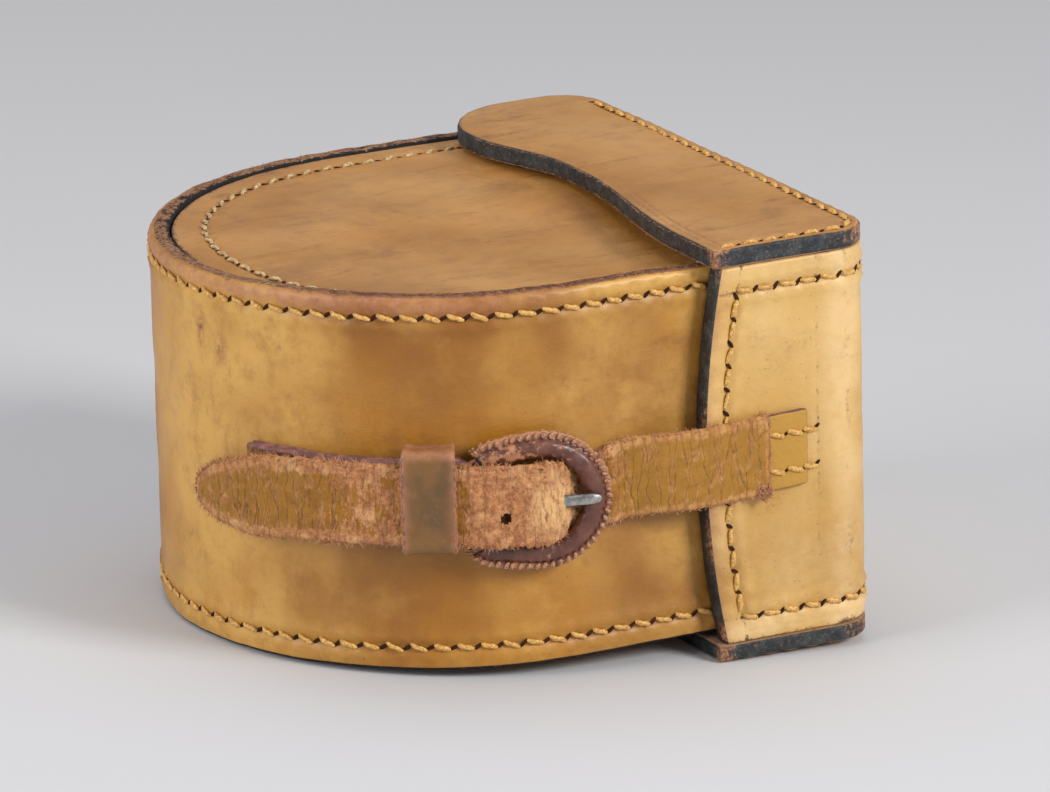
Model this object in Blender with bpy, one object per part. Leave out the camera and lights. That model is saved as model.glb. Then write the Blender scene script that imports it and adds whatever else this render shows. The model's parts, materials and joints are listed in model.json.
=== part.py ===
"""Hand-stitched leather instrument case: D-shaped body, wrap-round lid, strap and covered buckle.

The case lies on its back panel. In the case's own millimetre coordinates the centre of the
round end is at X = Y = 0, the flat end with the lid is at +X, the buckled side faces -Y and
the underside of the body is at Z = 0. The empty "case" carries everything and moves the
whole to its reference point, the centre of the bottom of its bounding box.
"""

import math

import bmesh
import bpy
from mathutils import Vector

MM = 0.001

# Body: a D-shaped drum of saddle leather
BODY_RADIUS = 49.0
BODY_HEIGHT = 62.8
WALL = 3.5
PANEL = 3.3
PANEL_GAP = 0.15
MOUTH_X = 44.0
ROUND_STEPS = 30

# Lid: a wall that wraps the flat end and the buckled side, and two flat panels
LID_END_X = 52.3
LID_SIDE_Y = 53.4
LID_FAR_Y = 49.7
LID_WALL = 3.4
LID_WALL_BOTTOM = -1.0
LID_WALL_TOP = 63.1
LID_PANEL_TOP = 66.3
LID_PANEL_BOTTOM = -4.0
LID_GAP = 0.1
LID_CORNER = 7.0
LID_EDGE_X = 20.0
LID_EDGE_BOW = 3.5
LID_FLAP_X = 22.2
CUTBACK_DEPTH = 5.3
CUTBACK_NEAR = (-40.0, 2.0)
CUTBACK_FAR = (8.0, 32.0)
FLAP_CORNER = 15.1
FAR_CORNER = 8.0
FACING = 0.7

# Hinge: the wall leather runs on round the far corner and flexes there
FOLD_BODY_X = 40.0
FOLD_LID_Y = 36.7
FOLD_GAP = 0.3
HINGE_X, HINGE_Y = 49.25, 45.95

# Stitching: threads lie in grooves cut in the leather
GROOVE_WIDTH, GROOVE_DEPTH = 1.2, 0.9
THREAD_WIDTH, THREAD_SINK, THREAD_DEPTH = 0.8, 0.05, 0.75
BODY_ROW_Z = (3.9, 59.7)
BODY_FACE_ROW = 9.2
LID_ROW_Z = (3.2, 59.0)
LID_ROW_START = 27.6
LID_FACE_ROW = 2.0
LID_EDGE_ROW = 3.7

# Strap and buckle, all about 13 mm wide
STRAP_WIDTH, STRAP_THICK, STRAP_END_THICK = 13.4, 1.8, 1.1
STRAP_END_X, STRAP_ROOT_X, STRAP_ROOT_Z = 38.3, 30.4, 30.9
SPARE_HOLE_U, SPARE_HOLE_Z, SPARE_HOLE = 3.3, 27.6, 1.6
CHAPE_WIDTH, CHAPE_EYE_WIDTH, CHAPE_THICK = 13.2, 11.6, 1.2
CHAPE_Z, CHAPE_TAIL = 30.3, -56.5
BUCKLE_Z = 28.9
BAR_ANGLE, BAR_RADIUS_OUT = math.radians(21.2), 51.8
RIM_Y = 53.2
FRAME_WIRE = 0.8
RING_RADIUS = 9.2
RING_HALF_WIDTH = 2.3
RING_HALF_THICK = 1.5
RING_FLANGE = 1.0
CORE_INSET = 0.4
COVER_BORE = 0.95
RING_SWEEP = math.radians(95)
ARM = ((6.0, 8.5), (2.7, 7.9))
BAR_CORNER = ((1.2, 7.6), (0.35, 6.9), (0.0, 6.0))
PRONG_EYE, PRONG_THICK, PRONG_WIDTH = 1.35, 0.9, 2.0
KEEPER_FROM, KEEPER_TO = -29.6, -21.9
KEEPER_BOTTOM, KEEPER_TOP = 21.7, 39.1
KEEPER_WALL = 1.0

TAN = (0.56, 0.30, 0.07)
LID_TAN = (0.60, 0.34, 0.09)
STRAP_TAN = (0.50, 0.26, 0.07)
DARK_LEATHER = (0.13, 0.045, 0.03)
KEEPER_BROWN = (0.30, 0.16, 0.08)
THREAD = (0.66, 0.42, 0.13)
STEEL = (0.45, 0.44, 0.42)


def clear_scene():
    for obj in list(bpy.data.objects):
        bpy.data.objects.remove(obj, do_unlink=True)


def material(name, colour, roughness=0.55, metallic=0.0):
    mat = bpy.data.materials.new(name)
    mat.use_nodes = True
    shader = mat.node_tree.nodes["Principled BSDF"]
    shader.inputs["Base Color"].default_value = (*colour, 1.0)
    shader.inputs["Roughness"].default_value = roughness
    shader.inputs["Metallic"].default_value = metallic
    return mat


def axis_empty(name, parent=None, x=0.0, y=0.0):
    """An empty at (x, y) in case millimetres; the pieces of one moving body hang from it."""
    empty = bpy.data.objects.new(name, None)
    bpy.context.collection.objects.link(empty)
    empty.parent = parent
    empty["at"] = (x, y)
    px, py = parent["at"] if parent else (0.0, 0.0)
    empty.location = ((x - px) * MM, (y - py) * MM, 0.0)
    return empty


def finish(name, bm, parent, mat=None, angle=35):
    """Turn a bmesh in case millimetres into an object that hangs from an empty."""
    ax, ay = parent["at"]
    bmesh.ops.translate(bm, verts=bm.verts, vec=(-ax, -ay, 0.0))
    bmesh.ops.scale(bm, verts=bm.verts, vec=(MM, MM, MM))
    bmesh.ops.recalc_face_normals(bm, faces=bm.faces)
    mesh = bpy.data.meshes.new(name)
    bm.to_mesh(mesh)
    bm.free()
    mesh.shade_smooth()
    mesh.set_sharp_from_angle(angle=math.radians(angle))
    obj = bpy.data.objects.new(name, mesh)
    bpy.context.collection.objects.link(obj)
    obj.parent = parent
    if mat:
        mesh.materials.append(mat)
    return obj


# ---- shapes ----------------------------------------------------------------------------------


def tube_mesh(rings, loop=False, bores=None, ladder=False, bm=None):
    """A skin over rings of points, closed into a loop or capped, with a bore where given.

    A ladder's rings go up one side and down the other, so its caps can be bowed rows of quads.
    Given a bm, the shape is added to it.
    """
    bm = bm or bmesh.new()
    skins = []
    for family in [rings] + ([bores] if bores else []):
        verts = [[bm.verts.new(p) for p in ring] for ring in family]
        skins.append(verts)
        spans = len(verts) if loop else len(verts) - 1
        for i in range(spans):
            here, there = verts[i], verts[(i + 1) % len(verts)]
            for j in range(len(here)):
                k = (j + 1) % len(here)
                bm.faces.new((here[j], here[k], there[k], there[j]))
    if not loop:
        for end in (0, -1):
            if bores:
                outer, inner = skins[0][end], skins[1][end]
                for j in range(len(outer)):
                    k = (j + 1) % len(outer)
                    bm.faces.new((outer[j], outer[k], inner[k], inner[j]))
            elif ladder:
                ring = skins[0][end]
                for j in range(len(ring) // 2 - 1):
                    bm.faces.new((ring[j], ring[j + 1], ring[-2 - j], ring[-1 - j]))
            else:
                bm.faces.new(skins[0][end])
    return bm


def along(route, section):
    """Rings of an (h, z) section carried along a route of (x, y, nx, ny) stations."""
    return [[Vector((x + nx * h, y + ny * h, z)) for h, z in section] for x, y, nx, ny in route]


def box_section(h0, h1, z0, z1):
    return [(h0, z0), (h1, z0), (h1, z1), (h0, z1)]


def prism(outline, z0, z1):
    low = [Vector((x, y, z0)) for x, y in outline]
    high = [Vector((x, y, z1)) for x, y in outline]
    return tube_mesh([low, high])


def arc(cx, cy, radius, start, end, steps):
    """Stations (x, y, nx, ny) on an arc, its normals pointing away from the centre."""
    out = []
    for i in range(steps + 1):
        a = math.radians(start + (end - start) * i / steps)
        out.append((cx + radius * math.cos(a), cy + radius * math.sin(a), math.cos(a), math.sin(a)))
    return out


def smooth(points, per_span):
    """A Catmull-Rom curve through points, which are tuples of any length."""
    out = []
    for i in range(len(points) - 1):
        p0, p1 = points[max(i - 1, 0)], points[i]
        p2, p3 = points[i + 1], points[min(i + 2, len(points) - 1)]
        for j in range(per_span):
            t = j / per_span
            out.append(tuple(
                0.5 * (2 * b + (c - a) * t + (2 * a - 5 * b + 4 * c - d) * t * t
                       + (3 * b - a - 3 * c + d) * t ** 3)
                for a, b, c, d in zip(p0, p1, p2, p3)))
    return out + [points[-1]]


def strip(stations):
    """Rings of a flat strip. A station is (x, y, z of its middle, width, thickness)."""
    rings = []
    for i, (x, y, z, width, thick) in enumerate(stations):
        ax, ay = stations[max(i - 1, 0)][:2]
        bx, by = stations[min(i + 1, len(stations) - 1)][:2]
        length = math.hypot(bx - ax, by - ay)
        nx, ny = (by - ay) / length * thick / 2, (ax - bx) / length * thick / 2
        half = width / 2
        rings.append([Vector((x + nx, y + ny, z - half)), Vector((x - nx, y - ny, z - half)),
                      Vector((x - nx, y - ny, z + half)), Vector((x + nx, y + ny, z + half))])
    return rings


def cut(target, cutter):
    """Take a cutter's volume away from an object, and hide the cutter."""
    cutter.hide_render = True
    cutter.display_type = "WIRE"
    modifier = target.modifiers.new("cut_" + cutter.name, "BOOLEAN")
    modifier.operation = "DIFFERENCE"
    modifier.solver = "EXACT"
    modifier.object = cutter


def ease(t):
    t = min(max(t, 0.0), 1.0)
    return t * t * (3 - 2 * t)


# ---- routes on the case ----------------------------------------------------------------------


def body_route(near_x, far_x, inset=0.0):
    """Along the body's outer face, from the buckled side round the D to the far side."""
    radius = BODY_RADIUS - inset
    return ([(near_x, -radius, 0.0, -1.0)] + arc(0, 0, radius, 270, 90, ROUND_STEPS)
            + [(far_x, radius, 0.0, 1.0)])


def fold_route():
    cx, cy = LID_END_X - FAR_CORNER, BODY_RADIUS - FAR_CORNER
    return ([(FOLD_BODY_X + FOLD_GAP, BODY_RADIUS, 0.0, 1.0)] + arc(cx, cy, FAR_CORNER, 90, 0, 8)
            + [(LID_END_X, FOLD_LID_Y + FOLD_GAP, 1.0, 0.0)])


def lid_route(near_x, far_y, inset=0.0):
    """Along the lid's outer face, from the buckled side round the corner to the far end."""
    centre_x, centre_y = LID_END_X - LID_CORNER, LID_CORNER - LID_SIDE_Y
    corner = arc(centre_x, centre_y, LID_CORNER - inset, 270, 360, 6)
    return ([(near_x, inset - LID_SIDE_Y, 0.0, -1.0)] + corner
            + [(LID_END_X - inset, far_y, 1.0, 0.0)])


def on_skin(s, h):
    """The point h outside the body's outer face, s along it from where the round end starts."""
    if s >= 0:
        return s, -(BODY_RADIUS + h)
    a = s / BODY_RADIUS
    return (BODY_RADIUS + h) * math.sin(a), -(BODY_RADIUS + h) * math.cos(a)


BAR_X = -BAR_RADIUS_OUT * math.sin(BAR_ANGLE)
BAR_Y = -BAR_RADIUS_OUT * math.cos(BAR_ANGLE)
BUCKLE_SPAN = math.hypot(BAR_X, RIM_Y + BAR_Y)
BUCKLE_DX, BUCKLE_DY = -BAR_X / BUCKLE_SPAN, -(RIM_Y + BAR_Y) / BUCKLE_SPAN
RING_U = BUCKLE_SPAN - RING_RADIUS


def in_buckle(u, w):
    """The point u from the heel bar towards the rim, and w out of the buckle's plane."""
    return BAR_X + BUCKLE_DX * u + BUCKLE_DY * w, BAR_Y + BUCKLE_DY * u - BUCKLE_DX * w


# ---- body ------------------------------------------------------------------------------------


def thread_section(z):
    half = THREAD_WIDTH / 2
    return box_section(-THREAD_DEPTH, -THREAD_SINK, z - half, z + half)


def groove_section(z):
    half = GROOVE_WIDTH / 2
    return box_section(-GROOVE_DEPTH, 0.6, z - half, z + half)


def face_sections(z, outward):
    """Thread and groove sections for a row on a flat face at height z, facing up or down."""
    deep, sink, thick = outward * GROOVE_DEPTH, outward * THREAD_SINK, outward * THREAD_DEPTH
    half_thread, half_groove = THREAD_WIDTH / 2, GROOVE_WIDTH / 2
    thread = box_section(-half_thread, half_thread, z - thick, z - sink)
    groove = box_section(-half_groove, half_groove, z - deep, z + 0.6 * outward)
    return thread, groove


def build_body(case):
    leather = material("body_leather", TAN)
    thread = material("body_thread", THREAD, 0.7)
    wall_route = body_route(MOUTH_X, FOLD_BODY_X)
    wall = finish("body_wall", tube_mesh(along(wall_route, box_section(-WALL, 0, 0, BODY_HEIGHT))),
                  case, leather)
    row_route = body_route(MOUTH_X - 1.0, FOLD_BODY_X - 1.0)
    groove_route = body_route(MOUTH_X + 1.0, FOLD_BODY_X + 1.0)
    grooves = bmesh.new()
    for side, z in zip(("bottom", "top"), BODY_ROW_Z):
        tube_mesh(along(groove_route, groove_section(z)), bm=grooves)
        finish("body_%s_wall_row" % side, tube_mesh(along(row_route, thread_section(z))), case, thread)
    cut(wall, finish("cut_body_wall", grooves, case))

    inset = WALL + PANEL_GAP
    outline = [(x, y) for x, y, _, _ in body_route(MOUTH_X, MOUTH_X, inset)]
    faces = (("bottom", 0.0, PANEL, 0.0, -1), ("top", BODY_HEIGHT - PANEL, BODY_HEIGHT, BODY_HEIGHT, 1))
    for side, z0, z1, face, outward in faces:
        panel = finish("body_%s_panel" % side, prism(outline, z0, z1), case, leather)
        row, groove = face_sections(face, outward)
        long_row = body_route(MOUTH_X + 1.0, MOUTH_X + 1.0, BODY_FACE_ROW)
        cutter = finish("cut_face_row_" + side, tube_mesh(along(long_row, groove)), case)
        cut(panel, cutter)
        short_row = body_route(MOUTH_X - 1.0, MOUTH_X - 1.0, BODY_FACE_ROW)
        finish("body_%s_face_row" % side, tube_mesh(along(short_row, row)), case, thread)

    fold = tube_mesh(along(fold_route(), box_section(-WALL, 0, 0, BODY_HEIGHT)))
    finish("lid_hinge_fold", fold, case, material("fold_leather", TAN))


# ---- lid -------------------------------------------------------------------------------------


def lid_edge(z):
    """X of the lid wall's free edge, bowed towards the buckle at mid height."""
    middle = (LID_WALL_BOTTOM + LID_WALL_TOP) / 2
    half = (LID_WALL_TOP - LID_WALL_BOTTOM) / 2
    return LID_EDGE_X + LID_EDGE_BOW * ((z - middle) / half) ** 2


def flap_edge(y):
    """X of a lid panel's free edge, with the shallow thumb cut-back."""
    near = ease((y - CUTBACK_NEAR[0]) / (CUTBACK_NEAR[1] - CUTBACK_NEAR[0]))
    far = ease((y - CUTBACK_FAR[0]) / (CUTBACK_FAR[1] - CUTBACK_FAR[0]))
    return LID_FLAP_X + CUTBACK_DEPTH * near * (1 - far)


def lid_outline():
    """A lid panel seen from above, anticlockwise from the sharp corner on the buckled side."""
    points = [(x, y) for x, y, _, _ in lid_route(LID_FLAP_X, 0.0)[:-1]]
    corner = arc(LID_END_X - FAR_CORNER, LID_FAR_Y - FAR_CORNER, FAR_CORNER, 0, 90, 6)
    flap = arc(LID_FLAP_X + FLAP_CORNER, LID_FAR_Y - FLAP_CORNER, FLAP_CORNER, 90, 180, 7)
    points += [(x, y) for x, y, _, _ in corner + flap]
    steps = 14
    start, end = CUTBACK_FAR[1], CUTBACK_NEAR[0]
    for i in range(steps + 1):
        y = start + (end - start) * i / steps
        points.append((flap_edge(y), y))
    return points


def bowed_column(z_low, z_high, inset, half, y_out, y_in, steps=10):
    """Rings of an upright strip that follows the lid wall's bowed edge."""
    rings = []
    for i in range(steps + 1):
        z = z_low + (z_high - z_low) * i / steps
        x = lid_edge(z) + inset
        rings.append([Vector((x - half, y_out, z)), Vector((x + half, y_out, z)),
                      Vector((x + half, y_in, z)), Vector((x - half, y_in, z))])
    return rings


def build_lid(axis):
    leather = material("lid_leather", LID_TAN)
    thread = material("lid_thread", THREAD, 0.7)
    levels = [LID_WALL_BOTTOM + (LID_WALL_TOP - LID_WALL_BOTTOM) * i / 8 for i in range(9)]
    section = [(0.0, z) for z in levels] + [(-LID_WALL, z) for z in reversed(levels)]
    rings = along(lid_route(LID_EDGE_X, FOLD_LID_Y), section)
    rings[0] = [Vector((lid_edge(p.z), p.y, p.z)) for p in rings[0]]
    wall = finish("lid_wall", tube_mesh(rings, ladder=True), axis, leather)

    grooves = bmesh.new()
    for side, z in zip(("bottom", "top"), LID_ROW_Z):
        long_row = lid_route(LID_ROW_START - 0.3, FOLD_LID_Y + 1.0)
        tube_mesh(along(long_row, groove_section(z)), bm=grooves)
        short_row = lid_route(LID_ROW_START, FOLD_LID_Y - 1.0)
        row = tube_mesh(along(short_row, thread_section(z)))
        finish("lid_%s_wall_row" % side, row, axis, thread)

    low, high = LID_ROW_Z[0] + 1.4, LID_ROW_Z[1] - 1.4
    face = -LID_SIDE_Y
    groove = bowed_column(low - 0.3, high + 0.3, LID_EDGE_ROW, GROOVE_WIDTH / 2,
                          face - 0.6, face + GROOVE_DEPTH)
    tube_mesh(groove, bm=grooves)
    cut(wall, finish("cut_lid_wall", grooves, axis))
    row = bowed_column(low, high, LID_EDGE_ROW, THREAD_WIDTH / 2,
                       face + THREAD_SINK, face + THREAD_DEPTH)
    finish("lid_edge_row", tube_mesh(row), axis, thread)

    inner = LID_WALL - LID_SIDE_Y
    facing = bowed_column(4.0, 58.5, 0.0, 0.0, inner + 0.1, inner + 0.1 + FACING)
    for ring in facing:
        edge = ring[0].x + 1.5
        ring[0].x, ring[3].x = edge, edge
        ring[1].x, ring[2].x = MOUTH_X, MOUTH_X
    finish("lid_facing", tube_mesh(facing), axis, material("facing_leather", TAN))

    faces = (("bottom", LID_PANEL_BOTTOM, LID_WALL_BOTTOM - LID_GAP, LID_PANEL_BOTTOM, -1),
             ("top", LID_WALL_TOP + LID_GAP, LID_PANEL_TOP, LID_PANEL_TOP, 1))
    for side, z0, z1, z, outward in faces:
        panel = finish("lid_%s_panel" % side, prism(lid_outline(), z0, z1), axis, leather)
        row, groove = face_sections(z, outward)
        far = LID_FAR_Y - FAR_CORNER
        long_row = lid_route(LID_FLAP_X + 1.5, far + 0.3, LID_FACE_ROW)
        cut(panel, finish("cut_lid_face_" + side, tube_mesh(along(long_row, groove)), axis))
        short_row = lid_route(LID_FLAP_X + 1.8, far, LID_FACE_ROW)
        finish("lid_%s_face_row" % side, tube_mesh(along(short_row, row)), axis, thread)

    top = LID_SIDE_Y - BODY_RADIUS + 0.1 + STRAP_END_THICK
    for name, z in (("lower", STRAP_ROOT_Z - 3.3), ("upper", STRAP_ROOT_Z + 3.0)):
        route = [on_skin(x, h) for x, h in
                 ((31.2, top + 0.35), (STRAP_END_X + 0.2, top + 0.35),
                  (STRAP_END_X + 1.1, top - 0.75), (STRAP_END_X + 2.3, top - 0.85))]
        stations = [(x, y, z, THREAD_WIDTH, 0.4) for x, y in route]
        finish("strap_%s_stitches" % name, tube_mesh(strip(stations)), axis, thread)


# ---- strap, chape and keeper -----------------------------------------------------------------


def strap_stations():
    """The strap from its sewn end on the lid, under the rim, over the bar, to its drooping tip."""
    wide, thick = STRAP_WIDTH, STRAP_THICK
    lid_face = LID_SIDE_Y - BODY_RADIUS + 0.1
    flat = lid_face + thick / 2
    thin = lid_face + STRAP_END_THICK / 2
    root, ring = STRAP_ROOT_Z, BUCKLE_Z
    marks = [
        (on_skin(STRAP_END_X, thin), root + 0.2, wide - 0.4, STRAP_END_THICK),
        (on_skin(34.5, thin), root + 0.1, wide - 0.4, STRAP_END_THICK),
        (on_skin(31.2, thin), root, wide - 0.4, STRAP_END_THICK),
        (on_skin(29.6, flat), root, wide, thick),
        (on_skin(25.0, flat), root - 0.2, wide, thick),
        (on_skin(20.5, flat), root - 0.4, wide, thick),
        (on_skin(15.5, flat - 0.9), root - 0.6, wide, thick),
        (on_skin(10.5, 2.6), root - 0.8, wide, thick),
        (on_skin(6.0, 1.55), root - 1.1, wide, thick),
        (in_buckle(21.8, -2.75), ring + 0.5, wide - 0.3, thick),
        (in_buckle(19.6, -2.65), ring + 0.3, 11.0, thick),
        (in_buckle(17.4, -2.5), ring, 6.0, thick),
        (in_buckle(16.0, -2.2), ring, 5.4, thick),
        (in_buckle(14.8, -1.0), ring, 7.8, thick),
        (in_buckle(13.4, 0.6), ring, 11.0, thick),
        (in_buckle(11.8, 2.2), ring, 12.9, thick),
        (in_buckle(8.8, 3.25), ring + 0.2, wide, thick),
        (in_buckle(4.5, 3.5), ring + 0.4, wide, thick),
        (in_buckle(0.5, 3.45), ring + 0.6, wide, thick),
        (on_skin(-21.4, 5.25), 29.6, wide, thick),
        (on_skin(-26.0, 5.0), 29.8, wide, thick),
        (on_skin(-31.0, 5.0), 29.9, wide, thick),
        (on_skin(-36.0, 5.0), 29.9, wide, thick),
        (on_skin(-41.0, 5.0), 29.9, wide, thick),
        (on_skin(-47.0, 4.5), 29.6, wide, thick),
        (on_skin(-53.0, 4.2), 28.9, wide, thick),
        (on_skin(-57.5, 4.0), 28.1, wide - 0.2, thick),
        (on_skin(-61.5, 3.2), 27.2, wide - 0.9, thick),
        (on_skin(-64.8, 2.5), 26.4, wide - 2.6, thick),
        (on_skin(-67.2, 2.0), 25.8, wide - 5.6, thick),
        (on_skin(-68.6, 1.8), 25.6, wide - 8.4, thick),
        (on_skin(-69.3, 1.7), 25.5, wide - 10.6, thick),
    ]
    return smooth([(x, y, z, w, t) for (x, y), z, w, t in marks], 2)


def build_strap(axis):
    strap = finish("closing_strap", tube_mesh(strip(strap_stations())), axis,
                   material("strap_leather", STRAP_TAN, 0.75))
    slot = [(*in_buckle(u, prong_lift(u)), BUCKLE_Z, PRONG_WIDTH + 0.9, PRONG_THICK + 0.9)
            for u in (5.5, 10.0, 15.0)]
    holes = tube_mesh(strip(slot))
    mid, half, sides = SPARE_HOLE_U, SPARE_HOLE / 2, 10
    rings = []
    for w in (0.5, 6.5):
        turns = [2 * math.pi * i / sides for i in range(sides)]
        rings.append([Vector((*in_buckle(mid + half * math.cos(a), w), SPARE_HOLE_Z + half * math.sin(a)))
                      for a in turns])
    tube_mesh(rings, bm=holes)
    cut(strap, finish("cut_strap_holes", holes, axis))


def build_chape(case):
    """A strip folded double round the heel bar, sewn down at its tail."""
    wide, thick = CHAPE_WIDTH, CHAPE_THICK
    under = [(CHAPE_TAIL, 0.75), (-52.5, 0.75), (-48.0, 0.8), (-45.0, 1.4), (-42.0, 1.9),
             (-35.0, 1.95), (-28.0, 1.95), (-23.5, 1.92), (-21.2, 1.85)]
    lift = thick + 0.12
    marks = [(*on_skin(s, h), CHAPE_Z, wide, thick) for s, h in under]
    eye = FRAME_WIRE + 0.1 + thick / 2
    turns = 9
    for i in range(turns):
        a = math.radians(-100 + 200 * i / (turns - 1))
        marks.append((*in_buckle(eye * math.cos(a), eye * math.sin(a)), BUCKLE_Z, CHAPE_EYE_WIDTH, thick))
    marks += [(*on_skin(s, h + lift), CHAPE_Z, wide, thick) for s, h in reversed(under)]
    chape = finish("buckle_chape", tube_mesh(strip(marks)), case, material("chape_leather", STRAP_TAN))
    window = [(*in_buckle(u, 0.0), BUCKLE_Z, PRONG_WIDTH + 0.6, 8.0) for u in (-2.9, 0.0, 3.0)]
    cut(chape, finish("cut_prong_window", tube_mesh(strip(window)), case))
    top = 0.75 + lift + thick / 2
    thread = material("chape_thread", THREAD, 0.7)
    for name, z in (("lower", CHAPE_Z - 3.4), ("upper", CHAPE_Z + 3.9)):
        route = ((-47.5, top + 0.35), (-52.5, top + 0.3), (CHAPE_TAIL, top + 0.3),
                 (CHAPE_TAIL - 1.1, 0.9), (CHAPE_TAIL - 2.0, 0.5))
        stations = [(*on_skin(s, h), z, THREAD_WIDTH, 0.35) for s, h in route]
        finish("chape_%s_stitches" % name, tube_mesh(strip(stations)), case, thread)


def rounded_box(h0, h1, z0, z1, radius, steps=2):
    """An (h, z) section with rounded corners."""
    out = []
    corners = ((h1 - radius, z1 - radius, 0), (h0 + radius, z1 - radius, 90),
               (h0 + radius, z0 + radius, 180), (h1 - radius, z0 + radius, 270))
    for ch, cz, start in corners:
        for i in range(steps + 1):
            a = math.radians(start + 90 * i / steps)
            out.append((ch + radius * math.cos(a), cz + radius * math.sin(a)))
    return out


def build_keeper(axis):
    """A closed loop of leather round the chape and the strap."""
    wall = KEEPER_WALL
    low, high = KEEPER_BOTTOM, KEEPER_TOP
    outer = rounded_box(0.15, 7.15, low, high, 1.6)
    inner = rounded_box(0.15 + wall, 7.15 - wall, low + wall + 0.1, high - wall - 0.1, 0.15)
    route = []
    for i in range(5):
        s = KEEPER_FROM + (KEEPER_TO - KEEPER_FROM) * i / 4
        x, y = on_skin(s, 0.0)
        route.append((x, y, x / BODY_RADIUS, y / BODY_RADIUS))
    bm = tube_mesh(along(route, outer), bores=along(route, inner))
    finish("strap_keeper", bm, axis, material("keeper_leather", KEEPER_BROWN, 0.5))


# ---- buckle ----------------------------------------------------------------------------------


def frame_point(station, q, w):
    """The point q outside the frame's centre line at a station (u, z, su, sz), w out of its plane."""
    u, z, su, sz = station
    x, y = in_buckle(u + su * q, w)
    return Vector((x, y, BUCKLE_Z + z + sz * q))


def frame_stations():
    """Stations of the bent wire's centre line, and how many of them the leather covers."""
    radius = RING_RADIUS - CORE_INSET
    steps = 22
    angles = [RING_SWEEP * (1 - 2 * i / steps) for i in range(steps + 1)]
    ring = [(RING_U + radius * math.cos(a), radius * math.sin(a)) for a in angles]
    covered = list(reversed(ARM)) + ring + [(u, -z) for u, z in ARM]
    corner = [(u, -z) for u, z in BAR_CORNER]
    line = covered + corner + list(reversed(BAR_CORNER))
    stations = []
    for i, (u, z) in enumerate(line):
        pu, pz = line[i - 1]
        nu, nz = line[(i + 1) % len(line)]
        length = math.hypot(nu - pu, nz - pz)
        stations.append((u, z, (pz - nz) / length, (nu - pu) / length))
    return stations, len(covered)


def build_frame(axis):
    sides = 8
    turns = [2 * math.pi * j / sides for j in range(sides)]
    rings = [[frame_point(station, FRAME_WIRE * math.cos(a), FRAME_WIRE * math.sin(a)) for a in turns]
             for station in frame_stations()[0]]
    steel = material("frame_steel", STEEL, 0.35, 1.0)
    finish("buckle_frame", tube_mesh(rings, loop=True), axis, steel, 50)


def build_cover(axis):
    """Leather sewn round the frame, its two edges meeting in a thin outer flange."""
    crown, half = RING_HALF_THICK, RING_HALF_WIDTH
    root = half - RING_FLANGE
    section = [(half, 0.45), (root, 0.6), (root - 0.7, 0.85 * crown), (-0.4, crown),
               (0.9 - half, 0.9 * crown), (0.2 - half, 0.5 * crown), (-half, 0.0)]
    section += [(q, -w) for q, w in reversed(section[1:-1])] + [(half, -0.45)]
    section = [(q + CORE_INSET, w) for q, w in section]
    bore = []
    for q, w in section:
        a = math.atan2(w, q)
        bore.append((COVER_BORE * math.cos(a), COVER_BORE * math.sin(a)))
    stations, covered = frame_stations()
    arc_part = stations[:covered]
    rings = [[frame_point(station, q, w) for q, w in section] for station in arc_part]
    bores = [[frame_point(station, q, w) for q, w in bore] for station in arc_part]
    finish("buckle_cover", tube_mesh(rings, bores=bores), axis,
           material("cover_leather", DARK_LEATHER, 0.35), 60)
    edge = half + CORE_INSET
    row = [(edge - 0.1, 0.65), (edge - 0.1, 0.95), (edge - 0.7, 0.95), (edge - 0.7, 0.8)]
    rings = [[frame_point(station, q, w) for q, w in row] for station in arc_part[1:-1]]
    finish("buckle_cover_stitches", tube_mesh(rings), axis, material("cover_thread", THREAD, 0.6))


def prong_lift(u):
    """Height w of the prong's middle at u: tangent to its eye, resting on the rim."""
    rest = RING_HALF_THICK + 0.12 + PRONG_THICK / 2
    return PRONG_EYE + (rest - PRONG_EYE) * u / BUCKLE_SPAN


def build_prong(axis):
    stations = []
    turns = 13
    for i in range(turns):
        a = math.radians(-60 - 210 * i / (turns - 1))
        stations.append((*in_buckle(PRONG_EYE * math.cos(a), PRONG_EYE * math.sin(a)),
                         BUCKLE_Z, PRONG_WIDTH, PRONG_THICK))
    for u, width, thick in ((6.0, 1.0, 1.0), (14.0, 0.95, 1.0), (18.6, 0.85, 0.9), (20.2, 0.6, 0.7),
                            (20.9, 0.3, 0.5)):
        stations.append((*in_buckle(u, prong_lift(u)), BUCKLE_Z, PRONG_WIDTH * width, PRONG_THICK * thick))
    finish("buckle_prong", tube_mesh(strip(stations)), axis, material("prong_steel", STEEL, 0.3, 1.0))


# ---- assembly --------------------------------------------------------------------------------


def stand_on_reference(case):
    """Move the case so that the bottom centre of its bounding box is at the origin."""
    bpy.context.view_layer.update()
    points = [obj.matrix_world @ v.co for obj in bpy.data.objects
              if obj.type == "MESH" and not obj.hide_render for v in obj.data.vertices]
    low = [min(p[i] for p in points) for i in range(3)]
    high = [max(p[i] for p in points) for i in range(3)]
    case.location = (-(low[0] + high[0]) / 2, -(low[1] + high[1]) / 2, -low[2])


def main():
    clear_scene()
    case = axis_empty("case")
    lid = axis_empty("lid_axis", case, HINGE_X, HINGE_Y)
    strap = axis_empty("strap_axis", lid, STRAP_ROOT_X, -LID_SIDE_Y)
    buckle = axis_empty("buckle_axis", case, BAR_X, BAR_Y)
    prong = axis_empty("prong_axis", buckle, BAR_X, BAR_Y)
    keeper = axis_empty("keeper_axis", case)
    build_body(case)
    build_lid(lid)
    build_strap(strap)
    build_chape(case)
    build_keeper(keeper)
    build_frame(buckle)
    build_cover(buckle)
    build_prong(prong)
    stand_on_reference(case)


main()
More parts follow.
